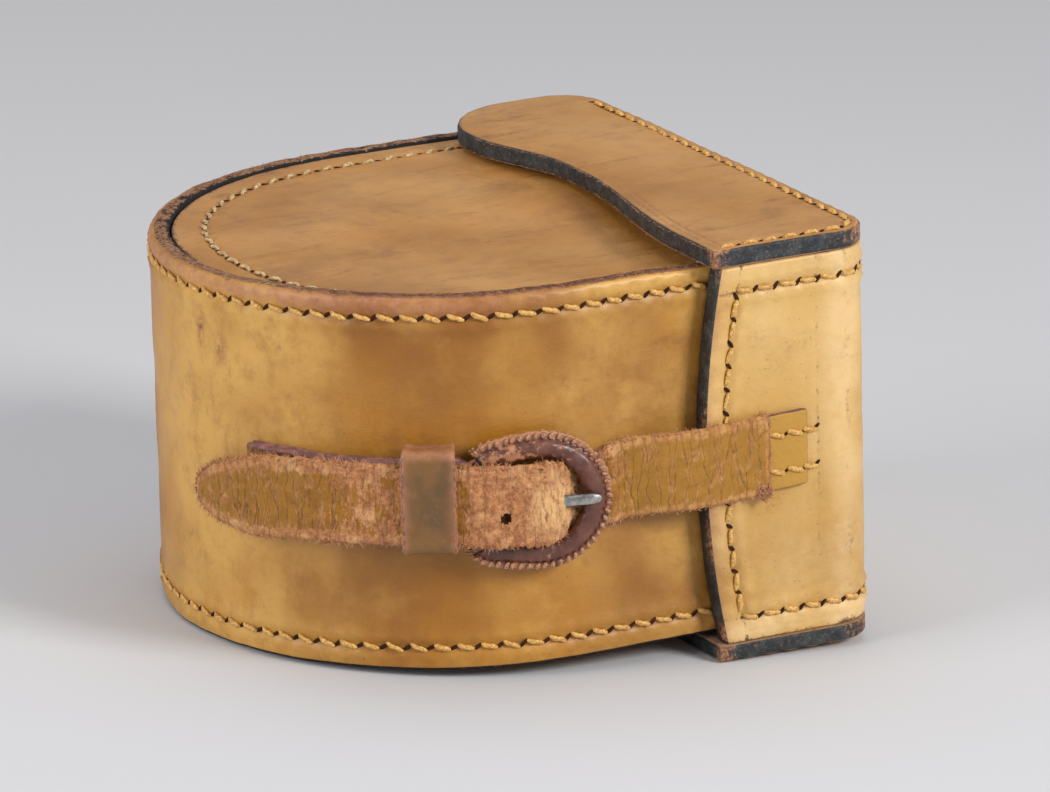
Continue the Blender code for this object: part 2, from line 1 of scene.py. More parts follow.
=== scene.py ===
"""Looks of the D-shaped leather case: leather, stitches, frayed strap, covered buckle, stage.

Lengths are millimetres in the case's own coordinates, as in the part's design: the centre of
the round end is at X = Y = 0 and the body's underside at Z = 0. world() takes them to the
frame, in metres. Every size that the frame knows is read from the frame.
"""

import math
import random

import bmesh
import bpy
import numpy as np
from mathutils import Matrix, Vector, noise
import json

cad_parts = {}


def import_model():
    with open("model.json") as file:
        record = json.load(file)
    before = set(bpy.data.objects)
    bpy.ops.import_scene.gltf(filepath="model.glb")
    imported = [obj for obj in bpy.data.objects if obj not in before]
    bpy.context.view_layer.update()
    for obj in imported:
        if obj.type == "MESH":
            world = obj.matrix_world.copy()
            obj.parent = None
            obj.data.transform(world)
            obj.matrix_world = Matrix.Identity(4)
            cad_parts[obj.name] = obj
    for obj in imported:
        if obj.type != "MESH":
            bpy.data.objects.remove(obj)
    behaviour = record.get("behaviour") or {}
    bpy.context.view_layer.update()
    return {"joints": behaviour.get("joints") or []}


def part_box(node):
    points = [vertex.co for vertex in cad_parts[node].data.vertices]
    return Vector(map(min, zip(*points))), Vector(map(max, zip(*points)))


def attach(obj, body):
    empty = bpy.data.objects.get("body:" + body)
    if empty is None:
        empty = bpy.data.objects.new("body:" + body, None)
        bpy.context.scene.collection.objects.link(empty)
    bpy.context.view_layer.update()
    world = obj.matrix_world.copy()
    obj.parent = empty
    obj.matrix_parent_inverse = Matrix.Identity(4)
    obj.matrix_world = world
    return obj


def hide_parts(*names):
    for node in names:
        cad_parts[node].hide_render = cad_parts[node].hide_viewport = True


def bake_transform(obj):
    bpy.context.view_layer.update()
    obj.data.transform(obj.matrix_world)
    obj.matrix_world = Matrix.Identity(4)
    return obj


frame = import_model()
M = 0.001


def box_mm(node):
    low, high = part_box(node)
    return np.array(low) / M, np.array(high) / M


# ---- sizes, read from the frame ----------------------------------------------------------------

wall_low, wall_high = box_mm("body_wall")
RADIUS = (wall_high[1] - wall_low[1]) / 2
SHIFT = np.array([wall_low[0] + RADIUS, (wall_low[1] + wall_high[1]) / 2, wall_low[2]])
HEIGHT = wall_high[2] - wall_low[2]
MOUTH_X = wall_high[0] - SHIFT[0]


def case_box(node):
    low, high = box_mm(node)
    return low - SHIFT, high - SHIFT


LID_LOW, LID_HIGH = case_box("lid_wall")
PANEL_LOW, PANEL_HIGH = case_box("lid_top_panel")
UNDER_LOW, UNDER_HIGH = case_box("lid_bottom_panel")
FOLD_LOW = case_box("lid_hinge_fold")[0]
KEEPER_LOW, KEEPER_HIGH = case_box("strap_keeper")
JOINTS = {j["name"]: j for j in frame["joints"]}
BAR = np.array(JOINTS["buckle_swing"]["pos_m"]) / M - SHIFT

# The lid's outline, the sewn rows (heights, and insets from an edge) and the buckle, as designed.
LID_END_X = LID_HIGH[0]
LID_SIDE_Y = LID_LOW[1]
LID_FAR_Y = PANEL_HIGH[1]
WALL, LID_WALL = 3.5, 3.4
LID_CORNER, FAR_CORNER, FLAP_CORNER = 7.0, 8.0, 15.1
LID_EDGE_X, LID_EDGE_BOW = LID_LOW[0], 3.5
FLAP_X, CUTBACK_DEPTH = PANEL_LOW[0], 5.3
CUTBACK_NEAR, CUTBACK_FAR = (-40.0, 2.0), (8.0, 32.0)
PITCH = 3.9
BODY_ROWS, BODY_FACE_ROW = (3.9, 59.7), 9.2
LID_ROWS, LID_FACE_ROW, LID_EDGE_ROW = (3.2, 59.0), 2.0, 3.7
RIM_Y, BUCKLE_Z = 53.2, BAR[2]
RING_RADIUS = 9.2


def world(points):
    """From millimetres on the case to metres in the frame."""
    return (np.asarray(points, dtype=float) + SHIFT) * M


def noise3(x, y, z, scale):
    return noise.noise(Vector((x * scale, y * scale, z * scale)))


def ease(t):
    """0 to 1 with soft ends."""
    t = np.clip(t, 0.0, 1.0)
    return t * t * (3 - 2 * t)


def bell(distance, width):
    """1 at no distance, and fading to nothing about two widths away."""
    return math.exp(-(distance / width) ** 2)


def unit(v):
    return v / np.linalg.norm(v)


def held(value):
    """Kept between 0 and 1."""
    return max(0.0, min(1.0, value))


def run_length(points):
    """Distance along a line of points, at each of them."""
    return np.concatenate([[0], np.cumsum(np.linalg.norm(np.diff(points, axis=0), axis=1))])


def put(name, data):
    """A new object in the scene."""
    obj = bpy.data.objects.new(name, data)
    bpy.context.collection.objects.link(obj)
    return obj


# ---- node materials ----------------------------------------------------------------------------


class Nodes:
    """A small helper that builds one material's node tree."""

    def __init__(self, name):
        self.mat = bpy.data.materials.new(name)
        self.mat.use_nodes = True
        self.tree = self.mat.node_tree
        self.shader = self.tree.nodes["Principled BSDF"]
        self.place = self.add("TexCoord").outputs["Object"]

    def add(self, kind, **settings):
        node = self.tree.nodes.new("ShaderNode" + kind)
        for key, value in settings.items():
            setattr(node, key, value)
        return node

    def link(self, a, b):
        self.tree.links.new(a, b)

    def feed(self, sockets):
        """Give each (socket, value) a number, a colour or a link from another node."""
        for socket, value in sockets:
            if isinstance(value, (int, float)):
                socket.default_value = value
            elif isinstance(value, tuple):
                socket.default_value = (*value, 1.0)[:len(socket.default_value)]
            elif value is not None:
                self.link(value, socket)

    def named(self, node, **values):
        self.feed((node.inputs[key.replace("_", " ")], value) for key, value in values.items())
        return node

    def scaled(self, size, source=None):
        return self.named(self.add("Mapping"), Scale=size, Vector=source or self.place).outputs["Vector"]

    def noise(self, scale, detail=4.0, rough=0.55, source=None, distortion=0.0):
        return self.named(self.add("TexNoise"), Scale=scale, Detail=detail, Roughness=rough,
                          Distortion=distortion, Vector=source or self.place).outputs["Fac"]

    def voronoi(self, scale, feature="F1", source=None):
        node = self.add("TexVoronoi", feature=feature)
        return self.named(node, Scale=scale, Vector=source or self.place).outputs["Distance"]

    def ramp(self, value, low, high, out_low=0.0, out_high=1.0):
        node = self.add("MapRange", interpolation_type="SMOOTHSTEP")
        self.named(node, From_Min=low, From_Max=high, To_Min=out_low, To_Max=out_high, Value=value)
        return node.outputs["Result"]

    def patches(self, scale, detail, rough, *ramp, source=None):
        """Noise seen through a ramp: how much of something is at each place."""
        return self.ramp(self.noise(scale, detail, rough, source), *ramp)

    def math(self, operation, a, b):
        node = self.add("Math", operation=operation)
        self.feed(zip(node.inputs, (a, b)))
        return node.outputs["Value"]

    def times(self, a, b):
        return self.math("MULTIPLY", a, b)

    def plus(self, a, b):
        return self.math("ADD", a, b)

    def attribute(self, name):
        return self.add("Attribute", attribute_name=name).outputs["Fac"]

    def marked(self, name, *patches, join="MULTIPLY"):
        """A mark that the mesh carries, broken up by noise."""
        return self.math(join, self.attribute(name), self.patches(*patches))

    def layers(self, colour, *layers):
        """Lays each (amount, colour) over what is below it."""
        for amount, shade in layers:
            colour = self.mix(amount, colour, shade)
        return colour

    def mix(self, factor, a, b):
        node = self.add("Mix", data_type="RGBA", blend_type="MIX")
        self.feed(((node.inputs["Factor"], factor), (node.inputs[6], a), (node.inputs[7], b)))
        return node.outputs[2]

    def bump(self, height, distance, strength=1.0, below=None):
        node = self.add("Bump")
        self.named(node, Distance=distance, Strength=strength, Height=height, Normal=below)
        return node.outputs["Normal"]

    def finish(self, colour, roughness, normal=None, **values):
        self.named(self.shader, Base_Color=colour, Roughness=roughness, Normal=normal, **values)
        return self.mat


def leather(name, tan, deep, pale, stain=0.35, gloss=0.42, fine=1.0):
    """Waxed saddle leather: mottled tan, fibre streaks, pores, specks, worn and dirty places, and painted
    light and painted shade that the mesh's marks carry.
    """
    n = Nodes(name)
    streaks = n.noise(1.0, 5, 0.6, n.scaled((420, 420, 60)))
    blotch = n.noise(48 * fine, 9, 0.72, distortion=0.5)
    scuff = n.noise(1.0, 6, 0.65, n.scaled((240, 240, 900)))
    blush = n.mix(n.patches(480, 5, 0.7, 0.4, 0.65), (0.52, 0.225, 0.115), (0.40, 0.15, 0.075))
    smear = n.noise(1.0, 7, 0.72, n.scaled((70 * fine, 230 * fine, 150 * fine)))
    smear = n.ramp(smear, 0.52, 0.72, 0.0, stain * 1.2)
    # Darker where the mesh marks dirt and painted shade: sewn rows, grooves, creases and lower edges.
    grime_and_shade = n.marked("dirt", 750, 6, 0.75, 0.3, 0.7, -0.5, 0.5, join="ADD")
    grime_and_shade = n.times(n.ramp(grime_and_shade, 0.28, 0.85, 0.0, 0.9), n.ramp(n.attribute("dirt"), 0.02, 0.5))
    colour = n.layers(
        tan,
        (n.patches(28 * fine, 3, 0.55, 0.38, 0.62), deep),
        (n.ramp(streaks, 0.35, 0.75, 0.0, 0.28), deep),
        (n.patches(95 * fine, 6, 0.62, 0.52, 0.78, 0.0, 0.55), pale),
        (n.ramp(blotch, 0.48, 0.70, 0.0, stain), (0.19, 0.070, 0.014)),
        (n.ramp(scuff, 0.66, 0.76, 0.0, 0.4), (0.20, 0.10, 0.045)),
        (n.patches(1500, 2, 0.5, 0.70, 0.76, 0.0, 0.55), (0.10, 0.045, 0.02)),
        # Paler where the mesh marks wear, which on the body's wall also carries painted light.
        (n.marked("wear", 260, 5, 0.7, 0.25, 0.6, 0.45, 1.0), pale),
        (n.marked("pink", 230, 6, 0.7, 0.32, 0.62, 0.35, 1.0), blush),
        (n.marked("smudge", 700, 5, 0.7, 0.36, 0.62), (0.20, 0.035, 0.022)),
        (n.times(smear, n.patches(1000, 4, 0.7, 0.38, 0.6, 0.35, 1.0)), (0.21, 0.070, 0.016)),
        (grime_and_shade, (0.075, 0.03, 0.016)),
        # Deeper saturated tone where the mesh marks shade: on the body's wall partly deeper dye and partly
        # painted shade; on the lid's side a deeper tone low down.
        (n.marked("shade", 120, 5, 0.7, 0.3, 0.6, 0.5, 1.0), (0.27, 0.095, 0.003)))
    normal = n.bump(n.noise(75 * fine, 3), 0.0011 / fine, 0.22)
    normal = n.bump(n.ramp(n.voronoi(2300), 0.0, 0.42), 0.00006, 0.4, normal)
    normal = n.bump(n.noise(900, 6, 0.65), 0.00028, 0.5, normal)
    rough = n.patches(130, 5, 0.65, 0.3, 0.72, gloss, gloss + 0.2)
    return n.finish(colour, rough, normal, Coat_Weight=0.22, Coat_Roughness=0.30, Specular_IOR_Level=0.45)


def dyed_edge(name, black=(0.010, 0.014, 0.018), grey=(0.033, 0.044, 0.048), brown=(0.19, 0.062, 0.03)):
    """A cut edge that was dyed blue-black and burnished, worn back to red-brown and tan."""
    n = Nodes(name)
    fibres = n.noise(1900, 4, 0.7)
    loss = n.marked("wear", 240, 6, 0.7, 0.55, 0.8, 0.0, 0.5, join="ADD")
    loss = n.ramp(n.plus(loss, n.patches(1100, 4, 0.7, 0.3, 0.7, -0.3, 0.3)), 0.35, 0.8)
    colour = n.layers(
        black,
        (n.patches(420, 5, 0.55, 0.4, 0.66), grey),
        (n.ramp(fibres, 0.53, 0.74, 0.0, 0.75), (0.26, 0.145, 0.08)),
        (loss, n.mix(n.ramp(fibres, 0.42, 0.62), brown, (0.46, 0.235, 0.11))))
    normal = n.bump(n.noise(650, 6, 0.75), 0.0004, 0.7)
    rough = n.patches(500, 4, 0.55, 0.3, 0.7, 0.36, 0.62)
    return n.finish(colour, rough, normal, Specular_IOR_Level=0.5)


def rim_edge(name):
    """The band's cut top edge: fuzzy tan and brown fibres with patches of old black dye."""
    n = Nodes(name)
    dye = n.marked("dye", 330, 6, 0.7, 0.3, 0.7, -0.55, 0.55, join="ADD")
    dye = n.plus(dye, n.patches(2100, 3, 0.7, 0.3, 0.7, -0.25, 0.25))
    colour = n.layers(
        (0.15, 0.055, 0.030),
        (n.patches(1300, 6, 0.75, 0.38, 0.64), (0.48, 0.27, 0.135)),
        (n.patches(300, 4, 0.6, 0.45, 0.7, 0.0, 0.6), (0.30, 0.12, 0.065)),
        (n.marked("smudge", 800, 5, 0.7, 0.3, 0.6), (0.12, 0.036, 0.020)),
        (n.ramp(dye, 0.35, 0.65), (0.014, 0.012, 0.014)))
    normal = n.bump(n.noise(1000, 7, 0.8), 0.0006, 0.9)
    return n.finish(colour, 0.75, normal, Specular_IOR_Level=0.3)


def suede(name, light, dark, scale=1500):
    """The rough flesh side, or leather frayed back to its fibres."""
    n = Nodes(name)
    colour = n.layers(dark, (n.patches(scale, 6, 0.75, 0.32, 0.66), light),
                      (n.patches(220, 5, 0.7, 0.5, 0.75, 0.0, 0.55), dark))
    normal = n.bump(n.noise(scale * 0.8, 7, 0.8), 0.0005, 0.9)
    return n.finish(colour, 0.92, normal, Sheen_Weight=0.25, Sheen_Roughness=0.5, Specular_IOR_Level=0.2)


def strap_grain(name):
    """Dry strap leather: mustard grain split by cracks across it, rubbed to suede at its edges."""
    n = Nodes(name)
    flat = n.add("UVMap", uv_map="flat").outputs["UV"]
    mover = n.add("VectorMath", operation="MULTIPLY_ADD")
    warp = n.noise(0.16, 3, 0.6, flat)
    n.feed(zip(mover.inputs, (warp, (3.2, 0.0, 0.0), n.scaled((1.0, 0.10, 1.0), flat))))
    crack = n.voronoi(0.55, "DISTANCE_TO_EDGE", mover.outputs["Vector"])
    hairline = n.voronoi(1.5, "DISTANCE_TO_EDGE", mover.outputs["Vector"])
    shreds = n.noise(1.0, 6, 0.72, n.scaled((1.0, 0.30, 1.0), flat))
    whole = n.attribute("whole")

    grain = n.layers(
        (0.38, 0.158, 0.006),
        (n.patches(0.30, 5, 0.6, 0.35, 0.7, source=flat), (0.27, 0.104, 0.005)),
        (n.patches(1.6, 5, 0.7, 0.45, 0.75, 0.0, 0.45, source=flat), (0.44, 0.21, 0.05)))
    rubbed = n.layers(
        (0.30, 0.105, 0.044),
        (n.patches(1100, 7, 0.78, 0.34, 0.66), (0.66, 0.31, 0.13)),
        (n.patches(0.26, 4, 0.6, 0.50, 0.68, 0.0, 0.55, source=flat), (0.82, 0.48, 0.22)),
        (n.patches(0.9, 5, 0.7, 0.52, 0.72, 0.0, 0.6, source=flat), (0.34, 0.115, 0.048)),
        (n.times(n.attribute("bald"), n.ramp(shreds, 0.35, 0.55, 0.2, 1.0)), (0.86, 0.53, 0.24)))

    lips = n.times(n.ramp(crack, 0.05, 0.16, 1.0, 0.0), n.patches(0.5, 3, 0.5, 0.42, 0.6, source=flat))
    fray = n.plus(n.attribute("fray"), n.ramp(shreds, 0.25, 0.75, -0.5, 0.5))
    fray = n.math("MAXIMUM", n.ramp(fray, 0.42, 0.62), n.times(lips, 0.75))
    faint = n.patches(0.22, 4, 0.6, 0.40, 0.62, 0.08, 0.95, source=flat)
    split = n.math("MAXIMUM", n.times(n.ramp(crack, 0.0, 0.028, 1.0, 0.0), faint),
                   n.times(n.ramp(hairline, 0.0, 0.04, 1.0, 0.0), 0.38))
    split = n.times(split, n.ramp(n.attribute("fray"), 0.35, 0.8, 1.0, 0.25))
    split = n.times(split, n.ramp(whole, 0.0, 1.0, 1.0, 0.08))
    colour = n.layers(
        grain,
        (fray, rubbed),
        (n.times(whole, n.ramp(whole, 0.45, 1.0, 0.6, 0.9)), (0.56, 0.305, 0.052)),
        (split, (0.10, 0.034, 0.012)))
    depth = n.math("MAXIMUM", n.ramp(crack, 0.0, 0.07), n.ramp(whole, 0.6, 1.0))
    normal = n.bump(depth, 0.00025, 0.6)
    normal = n.bump(n.noise(1300, 7, 0.8), 0.00035, 0.75, normal)
    rough = n.plus(0.52, n.times(fray, 0.4))
    return n.finish(colour, rough, normal, Specular_IOR_Level=0.35)


def waxed_thread(name, light=(0.78, 0.48, 0.14), dark=(0.46, 0.225, 0.05)):
    n = Nodes(name)
    colour = n.mix(n.patches(2600, 3, 0.6, 0.35, 0.65), light, dark)
    colour = n.mix(n.patches(120, 3, 0.6, 0.5, 0.8, 0.0, 0.4), colour, dark)
    normal = n.bump(n.noise(2600, 2, 0.5), 0.00005, 0.4)
    return n.finish(colour, 0.42, normal, Specular_IOR_Level=0.45)


# Painted shade: the dark inside of an awl slit or of the strap's hole.
def painted_hole_shade(name):
    n = Nodes(name)
    colour = n.mix(n.noise(900, 3), (0.014, 0.005, 0.003), (0.075, 0.026, 0.012))
    return n.finish(colour, 0.9, None, Specular_IOR_Level=0.1)


def steel(name):
    n = Nodes(name)
    colour = n.mix(n.patches(700, 5, 0.7, 0.35, 0.7), (0.20, 0.20, 0.19), (0.52, 0.51, 0.48))
    normal = n.bump(n.noise(1.0, 5, 0.7, n.scaled((500, 500, 4000))), 0.00008, 0.6)
    rough = n.patches(1100, 4, 0.55, 0.3, 0.7, 0.22, 0.5)
    return n.finish(colour, rough, normal, Metallic=0.9)


def covered(name):
    """Thin polished leather, dark maroon, rubbed to tan on its high places."""
    n = Nodes(name)
    colour = n.mix(n.patches(330, 5, 0.6, 0.35, 0.65), (0.085, 0.022, 0.012), (0.17, 0.052, 0.028))
    rub = n.marked("wear", 520, 6, 0.7, 0.3, 0.75, -0.45, 0.45, join="ADD")
    colour = n.mix(n.ramp(rub, 0.45, 0.75), colour, (0.46, 0.205, 0.10))
    normal = n.bump(n.noise(1200, 6, 0.7), 0.00022, 0.6)
    rough = n.patches(420, 4, 0.55, 0.3, 0.7, 0.26, 0.48)
    return n.finish(colour, rough, normal, Coat_Weight=0.35, Coat_Roughness=0.2, Specular_IOR_Level=0.5)


TAN, DEEP, PALE = (0.45, 0.186, 0.010), (0.28, 0.100, 0.004), (0.66, 0.365, 0.080)
MATS = {
    "body": leather("body_leather", TAN, DEEP, PALE),
    "panel": leather("panel_leather", (0.46, 0.205, 0.036), (0.35, 0.138, 0.018), (0.60, 0.31, 0.095), 0.62),
    "lid": leather("lid_leather", (0.68, 0.415, 0.125), (0.60, 0.340, 0.080), (0.78, 0.53, 0.24), 0.26),
    "fold": leather("fold_leather", (0.56, 0.29, 0.050), (0.43, 0.19, 0.022), (0.72, 0.45, 0.17), 0.3),
    "rim": rim_edge("rim_edge"),
    "edge": dyed_edge("lid_edge_dye"),
    "strap": strap_grain("strap_grain"),
    "fray": suede("frayed_fibres", (0.74, 0.37, 0.17), (0.46, 0.18, 0.075)),
    "flesh": suede("flesh_side", (0.42, 0.22, 0.09), (0.27, 0.12, 0.05), 900),
    "chape": leather("chape_leather", (0.40, 0.18, 0.04), (0.26, 0.10, 0.02), (0.52, 0.27, 0.09), 0.5,
                     fine=4.0),
    "burnt": dyed_edge("chape_edge", (0.15, 0.055, 0.050), (0.30, 0.125, 0.105), (0.36, 0.16, 0.11)),
    "keeper": leather("keeper_leather", (0.20, 0.095, 0.022), (0.12, 0.062, 0.018), (0.34, 0.150, 0.062),
                      0.8, 0.34, 4.5),
    "cover": covered("ring_cover"),
    "flange": suede("ring_flange", (0.50, 0.25, 0.12), (0.25, 0.09, 0.05)),
    "thread": waxed_thread("waxed_thread"),
    "pale_thread": waxed_thread("worn_thread", (0.66, 0.50, 0.28), (0.36, 0.22, 0.09)),
    "cover_thread": waxed_thread("cover_thread", (0.52, 0.27, 0.14), (0.26, 0.10, 0.05)),
    # Painted shade for the awl slits and the strap's hole.
    "hole": painted_hole_shade("awl_hole_shade"),
    "steel": steel("worn_steel"),
}


# ---- meshes ------------------------------------------------------------------------------------


def make_mesh(name, verts, faces, mats, face_mats=None, attrs=None, uv=None):
    mesh = bpy.data.meshes.new(name)
    mesh.from_pydata(world(verts).tolist(), [], faces)
    for key in mats:
        mesh.materials.append(MATS[key])
    if face_mats is not None:
        mesh.polygons.foreach_set("material_index", np.asarray(face_mats, dtype=np.int32))
    for key, values in (attrs or {}).items():
        layer = mesh.attributes.new(key, "FLOAT", "POINT")
        layer.data.foreach_set("value", np.asarray(values, dtype=np.float32).ravel())
    if uv is not None:
        layer = mesh.uv_layers.new(name="flat")
        loops = np.empty(len(mesh.loops), dtype=np.int32)
        mesh.loops.foreach_get("vertex_index", loops)
        layer.data.foreach_set("uv", np.asarray(uv, dtype=np.float32).reshape(-1, 2)[loops].ravel())
    mesh.shade_smooth()
    mesh.update()
    return put(name, mesh)


class Marks(dict):
    """Values at each point of a piece, such as how worn or dirty its leather is there, and where light or
    shade is painted on it.
    """

    def add(self, **values):
        for name, value in values.items():
            self.setdefault(name, []).append(value)


def skin_faces(n, s, loop=False, ladder=True, first=0):
    """Quads over n rings of s points each. A ladder cap joins point j of an end ring to s-1-j."""
    index = first + np.arange(n * s).reshape(n, s)
    a = index if loop else index[:-1]
    b = np.roll(index, -1, 0) if loop else index[1:]
    faces = np.stack([a, np.roll(a, -1, 1), np.roll(b, -1, 1), b], -1).reshape(-1, 4).tolist()
    if not loop and ladder:
        for ring in (index[0][::-1], index[-1]):
            for j in range(s // 2 - 1):
                faces.append([int(ring[j]), int(ring[j + 1]), int(ring[-2 - j]), int(ring[-1 - j])])
    return faces


def skin(name, rings, mats, band=None, attrs=None, uv=None, loop=False, cap=None, lead=0):
    """A piece over rings of points. band gives each section point's material index."""
    rings = np.asarray(rings, dtype=float)
    n, s, _ = rings.shape
    faces = skin_faces(n, s, loop)
    face_mats = None
    if band is not None:
        tiles = n if loop else n - 1
        face_mats = np.zeros(len(faces), dtype=int)
        face_mats[:tiles * s] = np.tile(band, tiles)
        face_mats[tiles * s:] = max(band) if cap is None else cap
        if lead:
            face_mats[:lead * s] = cap
    obj = make_mesh(name, rings.reshape(-1, 3), faces, mats, face_mats, attrs, uv)
    turn_outward(obj)
    return obj


def turn_outward(obj):
    if sum(poly.center.dot(poly.normal) * poly.area for poly in obj.data.polygons) < 0:
        obj.data.flip_normals()


def weld(obj, spine=None):
    """Join points that coincide. A piece swept from both sides to a spine has no wall left there."""
    bm = bmesh.new()
    bm.from_mesh(obj.data)
    bmesh.ops.remove_doubles(bm, verts=bm.verts, dist=0.00001)
    if spine is not None:
        inner = [f for f in bm.faces if all(abs(v.co.y - spine) < 0.00002 for v in f.verts)]
        bmesh.ops.delete(bm, geom=inner, context="FACES")
    bm.to_mesh(obj.data)
    bm.free()


def roughen(obj, amount, scale, seed):
    """Push vertices along their normals by layered noise, amounts and scales in millimetres."""
    mesh = obj.data
    count = len(mesh.vertices)
    points = np.empty(count * 3)
    mesh.vertices.foreach_get("co", points)
    points = points.reshape(-1, 3)
    normals = np.empty(count * 3)
    mesh.vertex_normals.foreach_get("vector", normals)
    normals = normals.reshape(-1, 3)
    push = np.zeros(count)
    for i, p in enumerate(points):
        at = Vector(p) / M / scale
        at.x += seed
        push[i] = noise.fractal(at, 0.9, 2.1, 3)
    mesh.vertices.foreach_set("co", (points + normals * (push * amount * M)[:, None]).ravel())
    mesh.update()


def piece(obj, nodes, body=None):
    """Hides the parts that the piece replaces and hangs it on its body; one that spans two bodies has no body
    here.
    """
    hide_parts(*nodes)
    if body:
        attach(obj, body)


def rounded(thick, z0, z1, radius, count):
    """An (h, z) section of leather on edge, for ladder caps: up its outer side, down its inner."""
    outer = [(-thick / 2 + 0.03, z0), (-radius, z0)]
    for i in range(1, 5):
        a = math.pi / 2 * i / 4
        outer.append((-radius + radius * math.sin(a), z0 + radius - radius * math.cos(a)))
    for i in range(1, count):
        outer.append((0.0, z0 + radius + (z1 - z0 - 2 * radius) * i / count))
    for i in range(5):
        a = math.pi / 2 * i / 4
        outer.append((-radius + radius * math.cos(a), z1 - radius + radius * math.sin(a)))
    outer.append((-thick / 2 + 0.03, z1))
    inner = [(-thick - h, z) for h, z in reversed(outer)]
    return outer + inner


# ---- routes along the case ---------------------------------------------------------------------


class Route:
    """Straight runs and arcs in plan; at(s) gives x, y and the outward normal."""

    def __init__(self, parts):
        self.parts = parts
        self.length = sum(part[-1] for part in parts)

    @staticmethod
    def line(x0, y0, x1, y1, nx, ny):
        return ("line", x0, y0, x1, y1, nx, ny, math.hypot(x1 - x0, y1 - y0))

    @staticmethod
    def arc(cx, cy, radius, start, end):
        return ("arc", cx, cy, radius, start, end, radius * math.radians(abs(end - start)))

    def at(self, s):
        for part in self.parts:
            if s <= part[-1] or part is self.parts[-1]:
                break
            s -= part[-1]
        t = s / part[-1]
        if part[0] == "line":
            _, x0, y0, x1, y1, nx, ny, _ = part
            return x0 + (x1 - x0) * t, y0 + (y1 - y0) * t, nx, ny
        _, cx, cy, radius, start, end, _ = part
        a = math.radians(start + (end - start) * t)
        return cx + radius * math.cos(a), cy + radius * math.sin(a), math.cos(a), math.sin(a)

    def steps(self, size):
        count = max(2, round(self.length / size))
        return [self.length * i / count for i in range(count + 1)]


def body_route(near_x, far_x, inset=0.0):
    r = RADIUS - inset
    return Route([Route.line(near_x, -r, 0, -r, 0, -1), Route.arc(0, 0, r, 270, 90),
                  Route.line(0, r, far_x, r, 0, 1)])


def lid_route(near_x, far_y, inset=0.0):
    cx, cy = LID_END_X - LID_CORNER, LID_SIDE_Y + LID_CORNER
    return Route([Route.line(near_x, LID_SIDE_Y + inset, cx, LID_SIDE_Y + inset, 0, -1),
                  Route.arc(cx, cy, LID_CORNER - inset, 270, 360),
                  Route.line(LID_END_X - inset, cy, LID_END_X - inset, far_y, 1, 0)])


def fold_route():
    cx, cy = LID_END_X - FAR_CORNER, RADIUS - FAR_CORNER
    return Route([Route.line(FOLD_LOW[0], RADIUS, cx, RADIUS, 0, 1), Route.arc(cx, cy, FAR_CORNER, 90, 0),
                  Route.line(LID_END_X, cy, LID_END_X, FOLD_LOW[1], 1, 0)])


def lid_edge(z):
    """X of the lid's free upright edge, which bows toward the buckle halfway up."""
    middle = (LID_LOW[2] + LID_HIGH[2]) / 2
    return LID_EDGE_X + LID_EDGE_BOW * ((z - middle) / (LID_HIGH[2] - middle)) ** 2


def flap_edge(y):
    """X of the lid panels' free edge, cut back in an S."""
    near = ease((y - CUTBACK_NEAR[0]) / (CUTBACK_NEAR[1] - CUTBACK_NEAR[0]))
    far = ease((y - CUTBACK_FAR[0]) / (CUTBACK_FAR[1] - CUTBACK_FAR[0]))
    return FLAP_X + CUTBACK_DEPTH * near * (1 - far)


def on_skin(s, h):
    """A point h outside the wall: s is X along the straight side, and runs back round the end."""
    if s >= 0:
        return s, -(RADIUS + h)
    a = s / RADIUS
    return (RADIUS + h) * math.sin(a), -(RADIUS + h) * math.cos(a)


SPAN = math.hypot(BAR[0], RIM_Y + BAR[1])
BUCKLE_DX, BUCKLE_DY = -BAR[0] / SPAN, -(RIM_Y + BAR[1]) / SPAN
RING_U = SPAN - RING_RADIUS


def in_buckle(u, w):
    """A point in the buckle's plane: u from its bar toward the ring, w outward."""
    return BAR[0] + BUCKLE_DX * u + BUCKLE_DY * w, BAR[1] + BUCKLE_DY * u - BUCKLE_DX * w


def smooth(points, per_span):
    """A curve through the points, with per_span steps between each two."""
    out = []
    for i in range(len(points) - 1):
        p0, p1 = points[max(i - 1, 0)], points[i]
        p2, p3 = points[i + 1], points[min(i + 2, len(points) - 1)]
        for j in range(per_span):
            t = j / per_span
            out.append(tuple(
                0.5 * (2 * b + (c - a) * t + (2 * a - 5 * b + 4 * c - d) * t * t
                       + (3 * b - a - 3 * c + d) * t ** 3)
                for a, b, c, d in zip(p0, p1, p2, p3)))
    return out + [tuple(points[-1])]


# ---- thread ------------------------------------------------------------------------------------


